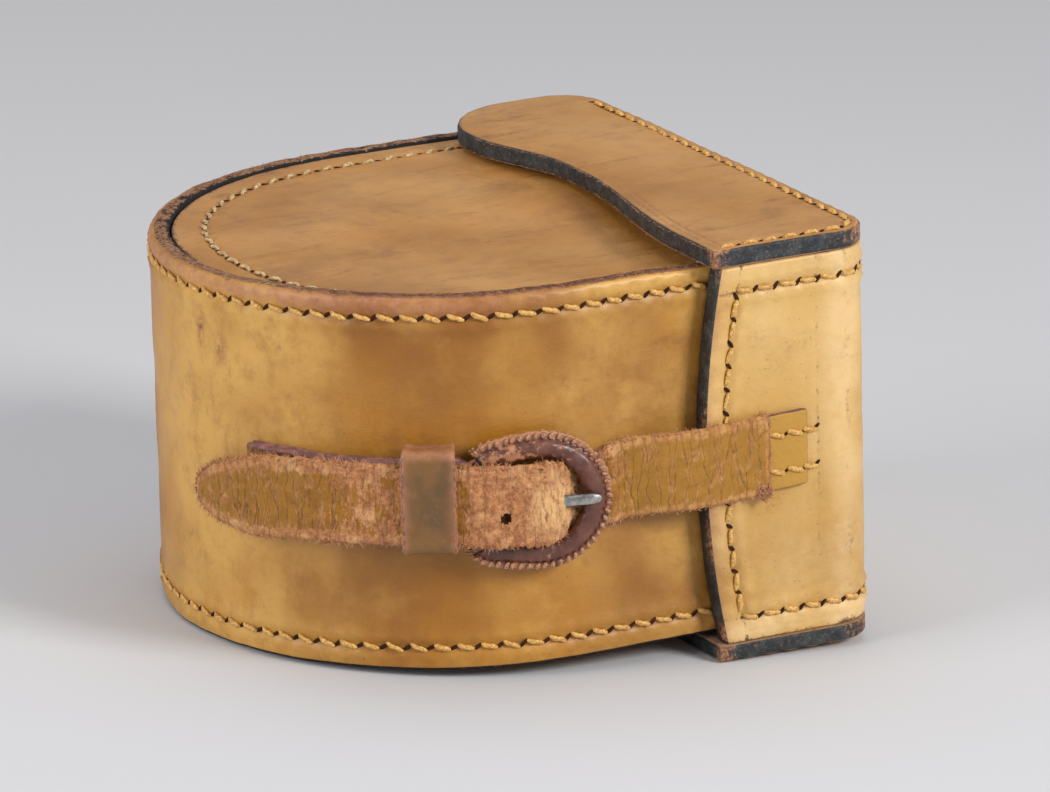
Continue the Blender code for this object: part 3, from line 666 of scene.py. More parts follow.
class Batch:
    """Many small parts of one piece: twisted threads, dark blobs of painted shade in the awl holes, loose
    fibres.
    """

    def __init__(self, mats):
        self.mats = mats
        self.verts, self.faces, self.face_mats = [], [], []

    def rings(self, rings, mat):
        n, s = len(rings), len(rings[0])
        first = len(self.verts)
        faces = skin_faces(n, s, False, False, first)
        faces += [[first + j for j in reversed(range(s))], [first + (n - 1) * s + j for j in range(s)]]
        for ring in rings:
            self.verts.extend(ring)
        self.faces += faces
        self.face_mats += [self.mats.index(mat)] * len(faces)

    def thread(self, path, up, radius, mat, taper=0.0):
        """Two plies laid together: the section has two lobes that turn along the path."""
        twist, flat, sides = 2.4, 0.8, 10
        path = np.asarray(path, dtype=float)
        up = np.asarray(up, dtype=float)
        tangents = np.gradient(path, axis=0)
        travelled = 0.0
        rings = []
        for i, (p, t) in enumerate(zip(path, tangents)):
            t = unit(t)
            if i:
                travelled += np.linalg.norm(p - path[i - 1])
            side = unit(np.cross(t, up))
            top = np.cross(side, t)
            end = abs(2 * i / (len(path) - 1) - 1)
            size = radius * (1 - taper * end ** 3)
            ring = []
            for j in range(sides):
                a = 2 * math.pi * j / sides
                lobe = 0.80 + 0.26 * abs(math.cos(a - travelled * twist))
                ring.append(p + side * math.cos(a) * size * lobe + top * math.sin(a) * size * lobe * flat)
            rings.append(ring)
        self.rings(rings, mat)

    def blob(self, centre, along, across, up, mat):
        """A small ellipsoid with three given half-axes."""
        centre, along = np.asarray(centre, dtype=float), np.asarray(along, dtype=float)
        across, up = np.asarray(across, dtype=float), np.asarray(up, dtype=float)
        rings = []
        for i in range(1, 8):
            a = math.pi * i / 8
            ring = []
            for j in range(8):
                b = 2 * math.pi * j / 8
                ring.append(centre - along * math.cos(a)
                            + (across * math.cos(b) + up * math.sin(b)) * math.sin(a))
            rings.append(ring)
        self.rings(rings, mat)

    def build(self, name):
        return make_mesh(name, self.verts, self.faces, self.mats, self.face_mats)


def stitch_row(node, body, place, length, slant, thread_length, seed, radius=0.45, slit=0.84,
               slit_width=0.32, thread="thread"):
    """Slanting threads with a dark awl slit between each two, laid on as a blob of painted shade.

    place(s) gives the point on the leather, the direction along the row and the outward normal.
    """
    rand = random.Random(seed)
    batch = Batch([thread, "hole"])
    count = round(length / PITCH)
    pitch = length / count
    proud, slit_lean = 0.06, 63.0

    def frame_at(s):
        p, t, n = (np.asarray(v, dtype=float) for v in place(s))
        return p, t, n, np.cross(n, t)

    for i in range(count):
        s = (i + 0.5) * pitch + rand.uniform(-0.18, 0.18)
        p, t, n, b = frame_at(s)
        lean = math.radians(slant + rand.uniform(-6, 6))
        d = t * math.cos(lean) + b * math.sin(lean)
        half = thread_length / 2 * rand.uniform(0.92, 1.08)
        size = radius * rand.uniform(0.9, 1.1)
        path = []
        for k in range(11):
            q = 2 * k / 10 - 1
            bow = b * 0.10 * math.sin(math.pi * q)
            path.append(p + d * half * q + bow + n * (proud + size * (0.35 - 1.5 * abs(q) ** 5)))
        batch.thread(path, n, size, thread, taper=0.38)
        p, t, n, b = frame_at(min(max(s + pitch / 2, 0.0), length))
        lean = math.radians(slant - math.copysign(slit_lean, slant) + rand.uniform(-8, 8))
        d = t * math.cos(lean) + b * math.sin(lean)
        across = np.cross(n, d) * slit_width
        # A flat dark blob standing proud of the leather: painted shade in the awl slit.
        batch.blob(p + n * 0.02, d * slit * rand.uniform(0.85, 1.2), across, n * 0.10, "hole")
    piece(batch.build("stitched_" + node), [node], body)


# ---- body --------------------------------------------------------------------------------------


def row_relief(along, across):
    """How leather lies near a sewn row: pulled in under each thread, swollen on either side."""
    wave = math.cos(2 * math.pi * along / PITCH)
    pulled = -0.42 * bell(across, 0.8) * (0.85 - 0.25 * wave)
    swollen = 0.26 * bell(abs(across) - 1.6, 0.8) * (1 - 0.85 * wave)
    return pulled + swollen


def stitch_phase(s, length):
    """Distance along a row from its first thread, so that the relief keeps step with it."""
    return (s * round(length / PITCH) / length - 0.5) * PITCH


BODY_ROUTE = body_route(MOUTH_X, FOLD_LOW[0] + 0.15)
FOLD_ROUTE = fold_route()
BODY_STITCHED = BODY_ROUTE.length - 2.0
FOLD_CREASES = (3.0, 6.2, 9.6, 13.2)


def body_relief(s, z):
    phase = stitch_phase(s - 1.0, BODY_STITCHED)
    h = row_relief(phase, z - BODY_ROWS[1]) + row_relief(phase, z - BODY_ROWS[0])
    rim = bell(z - HEIGHT + 0.6, 1.0)
    return h + 0.12 * rim * math.cos(2 * math.pi * phase / PITCH)


# Places on the wall, each with its distance along the wall, its height, and how far it spreads. SHADES are
# partly deeper dye and partly painted shade.
SMUDGES = ((113.5, 53.3, 1.0, 3.2), (108.3, 51.3, 1.1, 2.2))
SHADES = ((66.0, 50.0, 13.0, 9.0), (78.0, 13.0, 22.0, 9.0))


def spread(s, z, at_s, at_z, wide, high):
    return math.exp(-((s - at_s) / wide) ** 2 - ((z - at_z) / high) ** 2)


def rim_lift(x, y):
    """The wall's top edge has swollen upward along the near side, up to the lid."""
    return 0.35 * ease((-y - 5.0) / 25.0) * ease((20.0 - x) / 10.0)


def sunk(x, y):
    """How far the top panel has sunk below the rim: little at the far side, most at the near side."""
    near = ease((12.0 - y) / 36.0)
    return 0.40 + near * (1.45 + 0.40 * ease((x - 5.0) / 10.0))


def face_row(y):
    """Inset of the top panel's row, which runs closer to the rim along the near side."""
    return BODY_FACE_ROW - 1.0 * ease((-y - 8.0) / 30.0)


def section_bands(section, thick, is_edge):
    """Material index at each point of a section: 0 outer face, 1 cut edge, 2 flesh side."""
    return [1 if is_edge(h, z) else (2 if h < -thick + 0.1 else 0) for h, z in section]


def body_wall():
    section = rounded(WALL, 0.0, HEIGHT, 0.85, 84)
    rings, marks = [], Marks()
    for s in BODY_ROUTE.steps(0.8):
        x, y, nx, ny = BODY_ROUTE.at(s)
        sag = 0.5 * noise3(x, y, 0, 0.045)
        # Painted light from the left lamp: the round end, on its near half, is painted paler, as wear.
        left = ease((-x - 30.0) / 18.0) * ease((20.0 - y) / 25.0)
        ring = []
        for h, z in section:
            outer = h > -0.5
            bump = body_relief(s, z) if outer else 0.0
            lift = 0.16 * noise3(x, y, 7, 0.35) * (z / HEIGHT) if z > HEIGHT / 2 else 0.0
            lift += rim_lift(x, y) * ease((z - HEIGHT + 2.5) / 2.5)
            ring.append((x + nx * (h + bump), y + ny * (h + bump), z + lift))
            across = held(-h / WALL)
            on_rim = ease((z - BODY_ROWS[1] - 0.3) / 0.8)
            # Painted highlight on the rim band toward the lid, and painted light along the near side, both
            # added to the wear.
            painted_light = 0.75 * on_rim * ease((x + 10.0) / 20.0) * (y < 0) + 0.28 * ease((54.0 - s) / 14.0)
            spot = sum(spread(s, z, *smudge) for smudge in SMUDGES)
            # Darker saturated patches: partly deeper dye, partly painted shade.
            cloud = sum(spread(s, z, *shade) for shade in SHADES)
            browned = 0.85 * ease((-y - 22.0) / 14.0) if h < -0.5 and z > HEIGHT - 2.0 else 0.0
            seam = bell(z - BODY_ROWS[1], 0.45) + bell(z - BODY_ROWS[0], 0.45)
            marks.add(
                dye=-0.08 + 0.42 * ease((y + 5.0) / 20.0) + 0.75 * ease((across - 0.78) / 0.15)
                - 0.4 * ease((0.4 - across) / 0.3) * (z > 5) + (1.1 if z < 5 else 0.0)
                + 0.35 * bell(x - 12.0, 9.0) * (y < 0),
                # Wear with painted light added: the round end, the rim band and the near side toward the lid
                # are paler.
                wear=held(0.80 * left + painted_light + 0.5 * noise3(x, y, z, 0.11) + 0.15 + sag * 0.2)
                if outer else 0.2,
                smudge=held(0.9 * spot + browned),
                shade=held(0.85 * cloud) if outer else 0.0,
                pink=0.8 * on_rim * ease((-x + 5.0) / 30.0) if outer else 0.0,
                # Darker at the sewn rows, near the bottom and at the top edge: dirt and painted shade in the
                # grooves, painted shadow near the floor.
                dirt=held(0.45 * seam + 0.22 * ease((6.0 - z) / 6.0) + 0.35 * ease((z - HEIGHT + 0.9) / 0.9)))
        rings.append(ring)
    band = section_bands(section, WALL, lambda h, z: (h < -0.62 and z > HEIGHT - 2.6) or z < 0.5)
    obj = skin("body_wall_leather", rings, ["body", "rim", "flesh"], band, marks)
    roughen(obj, 0.13, 9.0, 3.0)
    roughen(obj, 0.035, 1.3, 8.0)
    piece(obj, ["body_wall"], "body")


def d_panel(node, z0, z1, out, seed):
    """A D-shaped panel let in between the wall. Its outer face is swept inward to the D's spine."""
    start = WALL + 0.15
    route = body_route(MOUTH_X, MOUTH_X)
    edge = 0.45
    insets = [start + 0.02 + edge * (1 - math.cos(math.pi / 2 * i / 3)) for i in range(4)]
    insets += [start + 0.5 + (RADIUS - start - 0.5) * (i / 46) for i in range(1, 47)]
    rings, marks = [], Marks()
    top, under = (z1, z0) if out > 0 else (z0, z1)
    for s in route.steps(1.0):
        x, y, nx, ny = route.at(s)
        row = face_row(y) if out > 0 else BODY_FACE_ROW
        ring = []
        for k, inset in enumerate(insets):
            drop = edge * (1 - math.sin(math.pi / 2 * min(k, 3) / 3))
            px, py = x - nx * inset, y - ny * inset
            relief = row_relief(stitch_phase(s - 1.0, route.length - 2.0), inset - row)
            dish = 0.35 * noise3(px, py, seed, 0.03) + 0.1 * noise3(px, py, seed, 0.12)
            below = sunk(px, py) if out > 0 else 0.0
            ring.append((px, py, top + out * (relief * 0.8 + dish - drop - 0.1) - below))
            marks.add(wear=held(0.30 + 0.6 * noise3(px, py, seed, 0.06)),
                      # Darker along the sewn row and at the panel's edge by the wall: dirt and painted shade
                      # in the groove and the gap.
                      dirt=held(0.45 * bell(inset - row, 0.5) + ease((start + 1.0 - inset) / 1.0)))
        for inset in reversed(insets):
            ring.append((x - nx * inset, y - ny * inset, under))
            marks.add(wear=0.0, dirt=0.2)
        rings.append(ring)
    count = len(insets)
    band = [2, 2] + [0] * (count - 3) + [1] * count + [2]
    obj = skin(node + "_leather", rings, ["panel", "flesh", "edge"], band, marks)
    weld(obj, SHIFT[1] * M)
    piece(obj, [node], "body")


def hinge_fold():
    """The wall's leather runs on round the far corner and is the hinge."""
    rings, marks = [], Marks()
    section = rounded(WALL, 0.0, HEIGHT, 0.85, 56)
    for s in FOLD_ROUTE.steps(0.6):
        x, y, nx, ny = FOLD_ROUTE.at(s)
        t = ease(s / FOLD_ROUTE.length)
        crease = -sum(0.22 * bell(s - at, 0.5) for at in FOLD_CREASES)
        ring = []
        for h, z in section:
            grow = 0.14 * noise3(x, y, z, 0.2)
            bump = crease * (0.7 + 0.6 * noise3(s, z, 1.0, 0.15)) + grow if h > -0.6 else -grow
            ring.append((x + nx * (h + bump), y + ny * (h + bump), z))
            marks.add(wear=0.35 + 0.5 * t * noise3(x, y, z, 0.2) - crease * 1.5,
                      dirt=0.10 + 0.2 * noise3(x, y, z, 0.25))
        rings.append(ring)
    band = section_bands(section, WALL, lambda h, z: h < -0.62 and (z > HEIGHT - 0.1 or z < 0.1))
    obj = skin("hinge_fold_leather", rings, ["fold", "rim", "flesh"], band, marks)
    piece(obj, ["lid_hinge_fold"])
    first, last = FOLD_ROUTE.at(0.0), FOLD_ROUTE.at(FOLD_ROUTE.length)
    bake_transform(obj)


# ---- lid ---------------------------------------------------------------------------------------

LID_ROUTE = lid_route(LID_EDGE_X, FOLD_LOW[1] + 0.15)
LID_ROW_START = 26.0
EDGE_ROW_LOW, EDGE_STITCHED = 3.9, 54.4
LID_PANEL_STITCHED = 122.0
FLAP_CREASES = (1.6, 2.9)
LID_ROW_ROUTE = lid_route(LID_ROW_START, FOLD_LOW[1] - 1.3)


def lid_relief(s, x, z):
    """Relief of the lid's outer face: rows, the crease beside the upright row, the bend's folds."""
    phase = stitch_phase(s - (LID_ROW_START - LID_EDGE_X), LID_ROW_ROUTE.length)
    started = ease((x - LID_ROW_START + 2.0) / 3.0) if s < 32 else 1.0
    h = started * (row_relief(phase, z - LID_ROWS[1]) + row_relief(phase, z - LID_ROWS[0]))
    if s < 34:
        from_edge = x - lid_edge(z)
        upright = row_relief(stitch_phase(z - EDGE_ROW_LOW, EDGE_STITCHED), from_edge - LID_EDGE_ROW)
        h += upright * ease((z - 2.0) / 3.0) * ease((60.0 - z) / 3.0)
        wander = 0.5 * noise3(x, 0, z, 0.12)
        h -= 0.16 * bell(from_edge - 6.9 + wander, 0.35) * ease((z - 4) / 5) * ease((56 - z) / 9)
        h -= 0.14 * bell(z - 6.4 - wander, 0.3) * ease((x - 27) / 4)
        for at, deep in ((39.2, 0.16), (40.8, 0.20)):
            h -= deep * bell(x - at + wander, 0.4) * ease((z - 5) / 8)
        h += 0.16 * bell(x - 43.5, 1.6)
    return h


def lid_wall():
    low, high = LID_LOW[2], LID_HIGH[2]
    section = rounded(LID_WALL, low, high, 0.5, 84)
    rings, marks = [], Marks()
    arris = 0.55
    for i, s in enumerate(LID_ROUTE.steps(0.7)):
        x, y, nx, ny = LID_ROUTE.at(0.22 if i == 1 else s)
        ring = []
        buckled = y < 0
        near_edge = ease(1 - (x - LID_EDGE_X) / 18.0) if buckled and s < 25 else 0.0
        for h, z in section:
            px = x + near_edge * (lid_edge(z) - LID_EDGE_X)
            from_edge = px - lid_edge(z) if s < 25 else 25.0
            rounding = arris * (1 - math.sqrt(max(0.0, 1 - max(0.0, 1 - from_edge / arris) ** 2)))
            outer = h > -0.5
            bump = lid_relief(s, px, z) - rounding if outer else 0.0
            ring.append((px + nx * (h + bump), y + ny * (h + bump), z))
            fold = bell(px - 46.0, 3.0) * buckled
            corner = bell(from_edge, 1.6)
            seam = bell(z - LID_ROWS[1], 0.4) + bell(z - LID_ROWS[0], 0.4)
            upright = bell(from_edge - LID_EDGE_ROW, 0.4)
            crease = 0.36 * bell(px - 41.0, 0.3) * buckled * ease((z - 5) / 8)
            scraped = bell(px - 46.8, 1.4) * buckled * max(0.0, 0.35 + noise3(px, 3, z, 0.25))
            marks.add(
                wear=held(0.22 + 0.75 * fold + 0.75 * bell(z - 1.0, 1.6) + 0.6 * noise3(px, y, z, 0.10)
                          + 0.3 * ease((z - 58) / 4)) if outer else 0.1,
                pink=0.75 * corner * (0.6 + noise3(px, y, z, 0.3)) if outer else 0.0,
                # Darker at the sewn rows and the bottom edge (dirt and painted shade in the grooves and near
                # the floor), along the crease, and where scraped.
                dirt=held(0.5 * seam + 0.45 * upright + 0.4 * ease((low + 1.2 - z) / 1.0)
                          + 0.45 * scraped + crease),
                # A deeper saturated tone over the lower part of the lid's side.
                shade=0.30 * bell(z - 13.0, 10.0) if outer and z > 5 else 0.0)
        rings.append(ring)
    band = section_bands(section, LID_WALL, lambda h, z: h < -0.4 and not low + 0.05 <= z <= high - 0.05)
    obj = skin("lid_wall_leather", rings, ["lid", "edge", "flesh"], band, marks, cap=1, lead=1)
    roughen(obj, 0.10, 8.0, 21.0)
    roughen(obj, 0.035, 1.2, 4.0)
    piece(obj, ["lid_wall"], "lid")


def resample(points, size):
    """A closed outline with points every size millimetres, its corners kept."""
    out = []
    for i, p in enumerate(points):
        q = points[(i + 1) % len(points)]
        length = math.hypot(q[0] - p[0], q[1] - p[1])
        count = max(1, round(length / size))
        out += [(p[0] + (q[0] - p[0]) * k / count, p[1] + (q[1] - p[1]) * k / count) for k in range(count)]
    return np.array(out)


def lid_outline():
    """A lid panel from above, anticlockwise from its sharp corner on the buckled side."""
    size = 1.0
    near = lid_route(FLAP_X, 0.0)
    far = Route([Route.arc(LID_END_X - FAR_CORNER, LID_FAR_Y - FAR_CORNER, FAR_CORNER, 0, 90)])
    flap = Route([Route.arc(FLAP_X + FLAP_CORNER, LID_FAR_Y - FLAP_CORNER, FLAP_CORNER, 90, 180)])
    points = [near.at(s)[:2] for s in near.steps(size)[:-1]]
    points += [part.at(s)[:2] for part in (far, flap) for s in part.steps(size)]
    steps = 70
    for i in range(1, steps):
        y = CUTBACK_FAR[1] + (LID_SIDE_Y - CUTBACK_FAR[1]) * i / steps
        points.append((float(flap_edge(y)), y))
    return resample(points, size)


def miters(outline):
    """Inward direction at each point of a closed outline, and how much further a sharp turn reaches."""
    step = np.roll(outline, -1, 0) - np.roll(outline, 1, 0)
    step /= np.linalg.norm(step, axis=1)[:, None]
    ahead = np.roll(outline, -1, 0) - outline
    ahead /= np.linalg.norm(ahead, axis=1)[:, None]
    inward = np.stack([-step[:, 1], step[:, 0]], 1)
    miter = 1 / np.clip((step * ahead).sum(1), 0.5, 1)
    inward[0], miter[0] = np.array([1.0, 1.0]) / math.sqrt(2), math.sqrt(2)
    return inward, miter


def panel_levels(thick, radius):
    """(inset, drop) from a lid panel's underside, up its cut edge and on to its face."""
    levels = [(0.9, thick), (0.25, thick - 0.02), (0.02, thick - 0.25)]
    levels += [(0.0, thick - 0.25 - (thick - 0.25 - radius) * k / 5) for k in range(1, 6)]
    for k in range(1, 5):
        a = math.pi / 2 * k / 4
        levels.append((radius * (1 - math.cos(a)), radius * (1 - math.sin(a))))
    return levels + [(radius + 0.35 * k, 0.0) for k in range(1, 13)]


def lid_panel(node, z0, z1, out, seed):
    outline = lid_outline()
    inward, miter = miters(outline)
    centre = np.array([(FLAP_X + 6 + LID_END_X) / 2, (LID_SIDE_Y + LID_FAR_Y) / 2])
    top, under = (z1, z0) if out > 0 else (z0, z1)
    travelled = run_length(outline)
    around = travelled[-1] + np.linalg.norm(outline[0] - outline[-1])
    from_corner = np.minimum(travelled, around - travelled)
    levels = panel_levels(z1 - z0, 0.5)
    edge_levels = 12
    verts, marks = [], Marks()
    on_row = [abs(x - float(flap_edge(y))) > 0.05 or y < LID_SIDE_Y + 0.3 for x, y in outline]
    for k, (inset, drop) in enumerate(levels):
        on_face = drop == 0.0
        for i, p in enumerate(outline):
            at = 0 if from_corner[i] < inset else i
            x, y = outline[at] + inward[at] * inset * miter[at]
            sewn = ease((x - FLAP_X - 1.5) / 2.0) * ease((41.0 - y) / 2.0) if on_row[at] else 0.0
            on_flap = on_face and not on_row[at]
            relief = 0.0
            if on_face:
                phase = stitch_phase(travelled[at] - 1.8, LID_PANEL_STITCHED)
                relief = sewn * 0.4 * row_relief(phase, inset - LID_FACE_ROW)
            if on_flap:
                relief -= 0.16 * sum(bell(inset - crease, 0.35) for crease in FLAP_CREASES)
            ragged = 0.10 * noise3(x, y, seed + k, 0.5) if 0 < k < edge_levels else 0.0
            edge_z = top + out * (relief + 0.22 * noise3(x, y, seed, 0.05) - drop)
            verts.append((x - inward[i][0] * ragged, y - inward[i][1] * ragged, edge_z if k > 1 else under))
            near_left = bell(math.hypot(x - FLAP_X, y - LID_SIDE_Y), 3.0)
            near_right = bell(math.hypot(x - LID_END_X + 1, y - LID_SIDE_Y - 2), 6.0)
            arris = max(0.0, 0.30 - 0.25 * abs(k - 9.5)) if k > 7 else 0.0
            lines = sum(bell(inset - crease, 0.3) for crease in FLAP_CREASES)
            marks.add(wear=held(0.75 * near_left + 0.70 * near_right + arris) if k < edge_levels
                      else held(0.35 + 0.6 * noise3(x, y, seed, 0.05)),
                      # Darker along the sewn row: dirt and painted shade in its groove.
                      dirt=0.5 * sewn * bell(inset - LID_FACE_ROW, 0.45) if on_face else 0.0,
                      pink=0.45 * near_right if k >= edge_levels else 0.0,
                      smudge=0.6 * lines * ease((-8.0 - y) / 14.0) if on_flap else 0.0)
    flat_start = levels[-1][0]
    rim = outline + inward * flat_start * miter[:, None]
    rim[from_corner < flat_start] = rim[0]
    shrinks = 26
    for k in range(1, shrinks + 1):
        for p in rim:
            x, y = p + (centre - p) * (k / shrinks * 0.985)
            verts.append((x, y, top + out * 0.22 * noise3(x, y, seed, 0.05)))
            marks.add(wear=held(0.35 + 0.6 * noise3(x, y, seed, 0.05)),
                      dirt=held(0.5 * noise3(x, y, seed + 5, 0.07)), pink=0.0, smudge=0.0)
    count = len(outline)
    total = len(levels) + shrinks
    faces = skin_faces(total, count, False, False)
    level_mats = [2, 2] + [1] * 8 + [0] * (total - 11)
    face_mats = [mat for mat in level_mats for _ in range(count)]
    faces.append([(total - 1) * count + j for j in range(count)])
    faces.append([j for j in reversed(range(count))])
    face_mats += [0, 2]
    obj = make_mesh(node + "_leather", verts, faces, ["panel", "edge", "flesh"], face_mats, marks)
    weld(obj)
    turn_outward(obj)
    roughen(obj, 0.03, 1.2, seed)
    piece(obj, [node], "lid")


def lid_facing():
    """The thin lining behind the lid's free edge, flesh side out."""
    low, high = case_box("lid_facing")
    rings = []
    for i in range(90):
        z = low[2] + (high[2] - low[2]) * i / 89
        left = lid_edge(z) + 1.5
        across = [left + (high[0] - left) * k / 20 for k in range(21)]
        ring = [(x, low[1], z) for x in across]
        for k, x in reversed(list(enumerate(across))):
            ring.append((x, high[1] + 0.12 * noise3(x, 0, z, 0.2) * (0 < k < 20), z))
        rings.append(ring)
    obj = skin("lid_lining", rings, ["flesh"])
    piece(obj, ["lid_facing"], "lid")


def along(route, s, point):
    """What stitch_row's place gives, on a route; point(x, y, nx, ny) is on the leather."""
    here, there = route.at(s), route.at(s + 0.1 if s < route.length - 0.2 else s)
    x, y, nx, ny = here
    if there == here:
        there = (x - ny * 0.1, y + nx * 0.1)
    return point(x, y, nx, ny), ((there[0] - x) / 0.1, (there[1] - y) / 0.1, 0), (nx, ny, 0)


def on_wall(route, start, z):
    """Places along a row on the outside of a wall, pressed a little into it."""
    def place(s):
        return along(route, s + start, lambda x, y, nx, ny: (x - nx * 0.12, y - ny * 0.12, z))
    return place


def on_panel(route, z, out, start):
    """Places along a row on a flat panel that faces up or down."""
    def place(s):
        point, ahead, _ = along(route, s + start, lambda x, y, nx, ny: (x, y, z - 0.08 * out))
        return point, ahead, (0, 0, out)
    return place


def on_top_panel(route, start):
    """Places along the row on the body's sunk top panel."""
    def at(s):
        x, y, nx, ny = route.at(s)
        nearer = BODY_FACE_ROW - face_row(y)
        x, y = x + nx * nearer, y + ny * nearer
        return np.array([x, y, HEIGHT - 0.08 - sunk(x, y)])

    def place(s):
        here = at(s + start)
        return here, (at(s + start + 0.1) - here) / 0.1, (0, 0, 1)
    return place


def on_lid_edge(s):
    """Places up the row beside the lid's free edge."""
    z = EDGE_ROW_LOW + s
    slope = (lid_edge(z + 0.1) - lid_edge(z)) / 0.1
    return (lid_edge(z) + LID_EDGE_ROW, LID_SIDE_Y + 0.12, z), Vector((slope, 0, 1)).normalized(), (0, -1, 0)


def sewn_rows():
    d_row = body_route(MOUTH_X, MOUTH_X, BODY_FACE_ROW)
    lid_row = lid_route(FLAP_X + 1.8, LID_FAR_Y - FAR_CORNER, LID_FACE_ROW)
    wall, lid, face, lid_face = BODY_STITCHED, LID_ROW_ROUTE.length, d_row.length - 2.0, lid_row.length - 0.2
    worn = {"thread": "pale_thread", "slit": 0.55, "slit_width": 0.34}
    rows = (
        ("body_top_wall_row", "body", on_wall(BODY_ROUTE, 1.0, BODY_ROWS[1]), wall, -24, 3.1, {}),
        ("body_bottom_wall_row", "body", on_wall(BODY_ROUTE, 1.0, BODY_ROWS[0]), wall, -24, 3.1, {}),
        ("lid_top_wall_row", "lid", on_wall(LID_ROW_ROUTE, 0.0, LID_ROWS[1]), lid, -14, 3.1, {}),
        ("lid_bottom_wall_row", "lid", on_wall(LID_ROW_ROUTE, 0.0, LID_ROWS[0]), lid, -16, 3.1, {}),
        ("lid_edge_row", "lid", on_lid_edge, EDGE_STITCHED, -18, 3.0, {}),
        ("body_top_face_row", "body", on_top_panel(d_row, 1.0), face, 14, 2.2, {"radius": 0.40, **worn}),
        ("body_bottom_face_row", "body", on_panel(d_row, 0.0, -1, 1.0), face, 14, 2.3, worn),
        ("lid_top_face_row", "lid", on_panel(lid_row, PANEL_HIGH[2], 1, 0.0), lid_face, -12, 2.4, {}),
        ("lid_bottom_face_row", "lid", on_panel(lid_row, UNDER_LOW[2], -1, 0.0), lid_face, -12, 2.4, {}))
    for seed, (node, body, place, length, slant, thread_length, looks) in enumerate(rows, 1):
        stitch_row(node, body, place, length, slant, thread_length, seed, **looks)


# ---- strips of leather -------------------------------------------------------------------------


def strip_frames(stations):
    """Centre and outward normal at each station of a strip, and the length travelled."""
    pts = np.array([station[:3] for station in stations])
    d = np.gradient(pts[:, :2], axis=0)
    d /= np.linalg.norm(d, axis=1)[:, None]
    normals = np.stack([-d[:, 1], d[:, 0], np.zeros(len(d))], 1)
    return pts, normals, run_length(pts)


def strip_section(count, ends=4):
    """Once round a strip: (side, across, depth, tuck) along its face, then back behind it.

    Across runs from -1 to 1. Tuck is given on the rounded edges, and is None between them.
    """
    edge = []
    for i in range(ends):
        a = math.pi / 2 * (i + 0.3) / ends
        edge.append((math.sin(a), 1 - math.cos(a)))
    face = [(-1.0, depth, tuck) for depth, tuck in edge]
    face += [(-1.0 + 2.0 * i / count, 1.0, None) for i in range(count + 1)]
    face += [(1.0, depth, tuck) for depth, tuck in reversed(edge)]
    return [(1, *point) for point in face] + [(-1, *point) for point in reversed(face)]


def strip_rings(stations, section, relief, sign=1.0):
    """Rings of a strip with rounded edges. relief gives how far the face and the edge are moved."""
    pts, normals, travelled = strip_frames(stations)
    rings = []
    for p, n, s, (_, _, _, width, thick) in zip(pts, normals, travelled, stations):
        r = thick / 2 * 0.95
        ring = []
        for side, v, depth, tuck in section:
            across = v * (width / 2 - r * (1.0 if tuck is None else tuck))
            push, widen = relief(p, s, across, side)
            across += math.copysign(widen, v) if abs(v) > 0.999 else 0.0
            ring.append(p + UP * across + n * sign * side * (depth * thick / 2 + push))
        rings.append(ring)
    return np.array(rings), travelled


def edge_bands(section):
    """Material index at each point of a strip's section: 0 flat, 1 on its rounded edges."""
    return [0 if tuck is None else 1 for _, _, _, tuck in section]


UP = np.array([0.0, 0.0, 1.0])
LID_FACE = -LID_SIDE_Y - RADIUS + 0.1
STRAP_WIDTH, STRAP_THICK, STRAP_END_THICK = 13.4, 1.8, 1.1
STRAP_END_X, STRAP_ROOT_Z = 38.3, 30.9
SEWN_X = 31.0


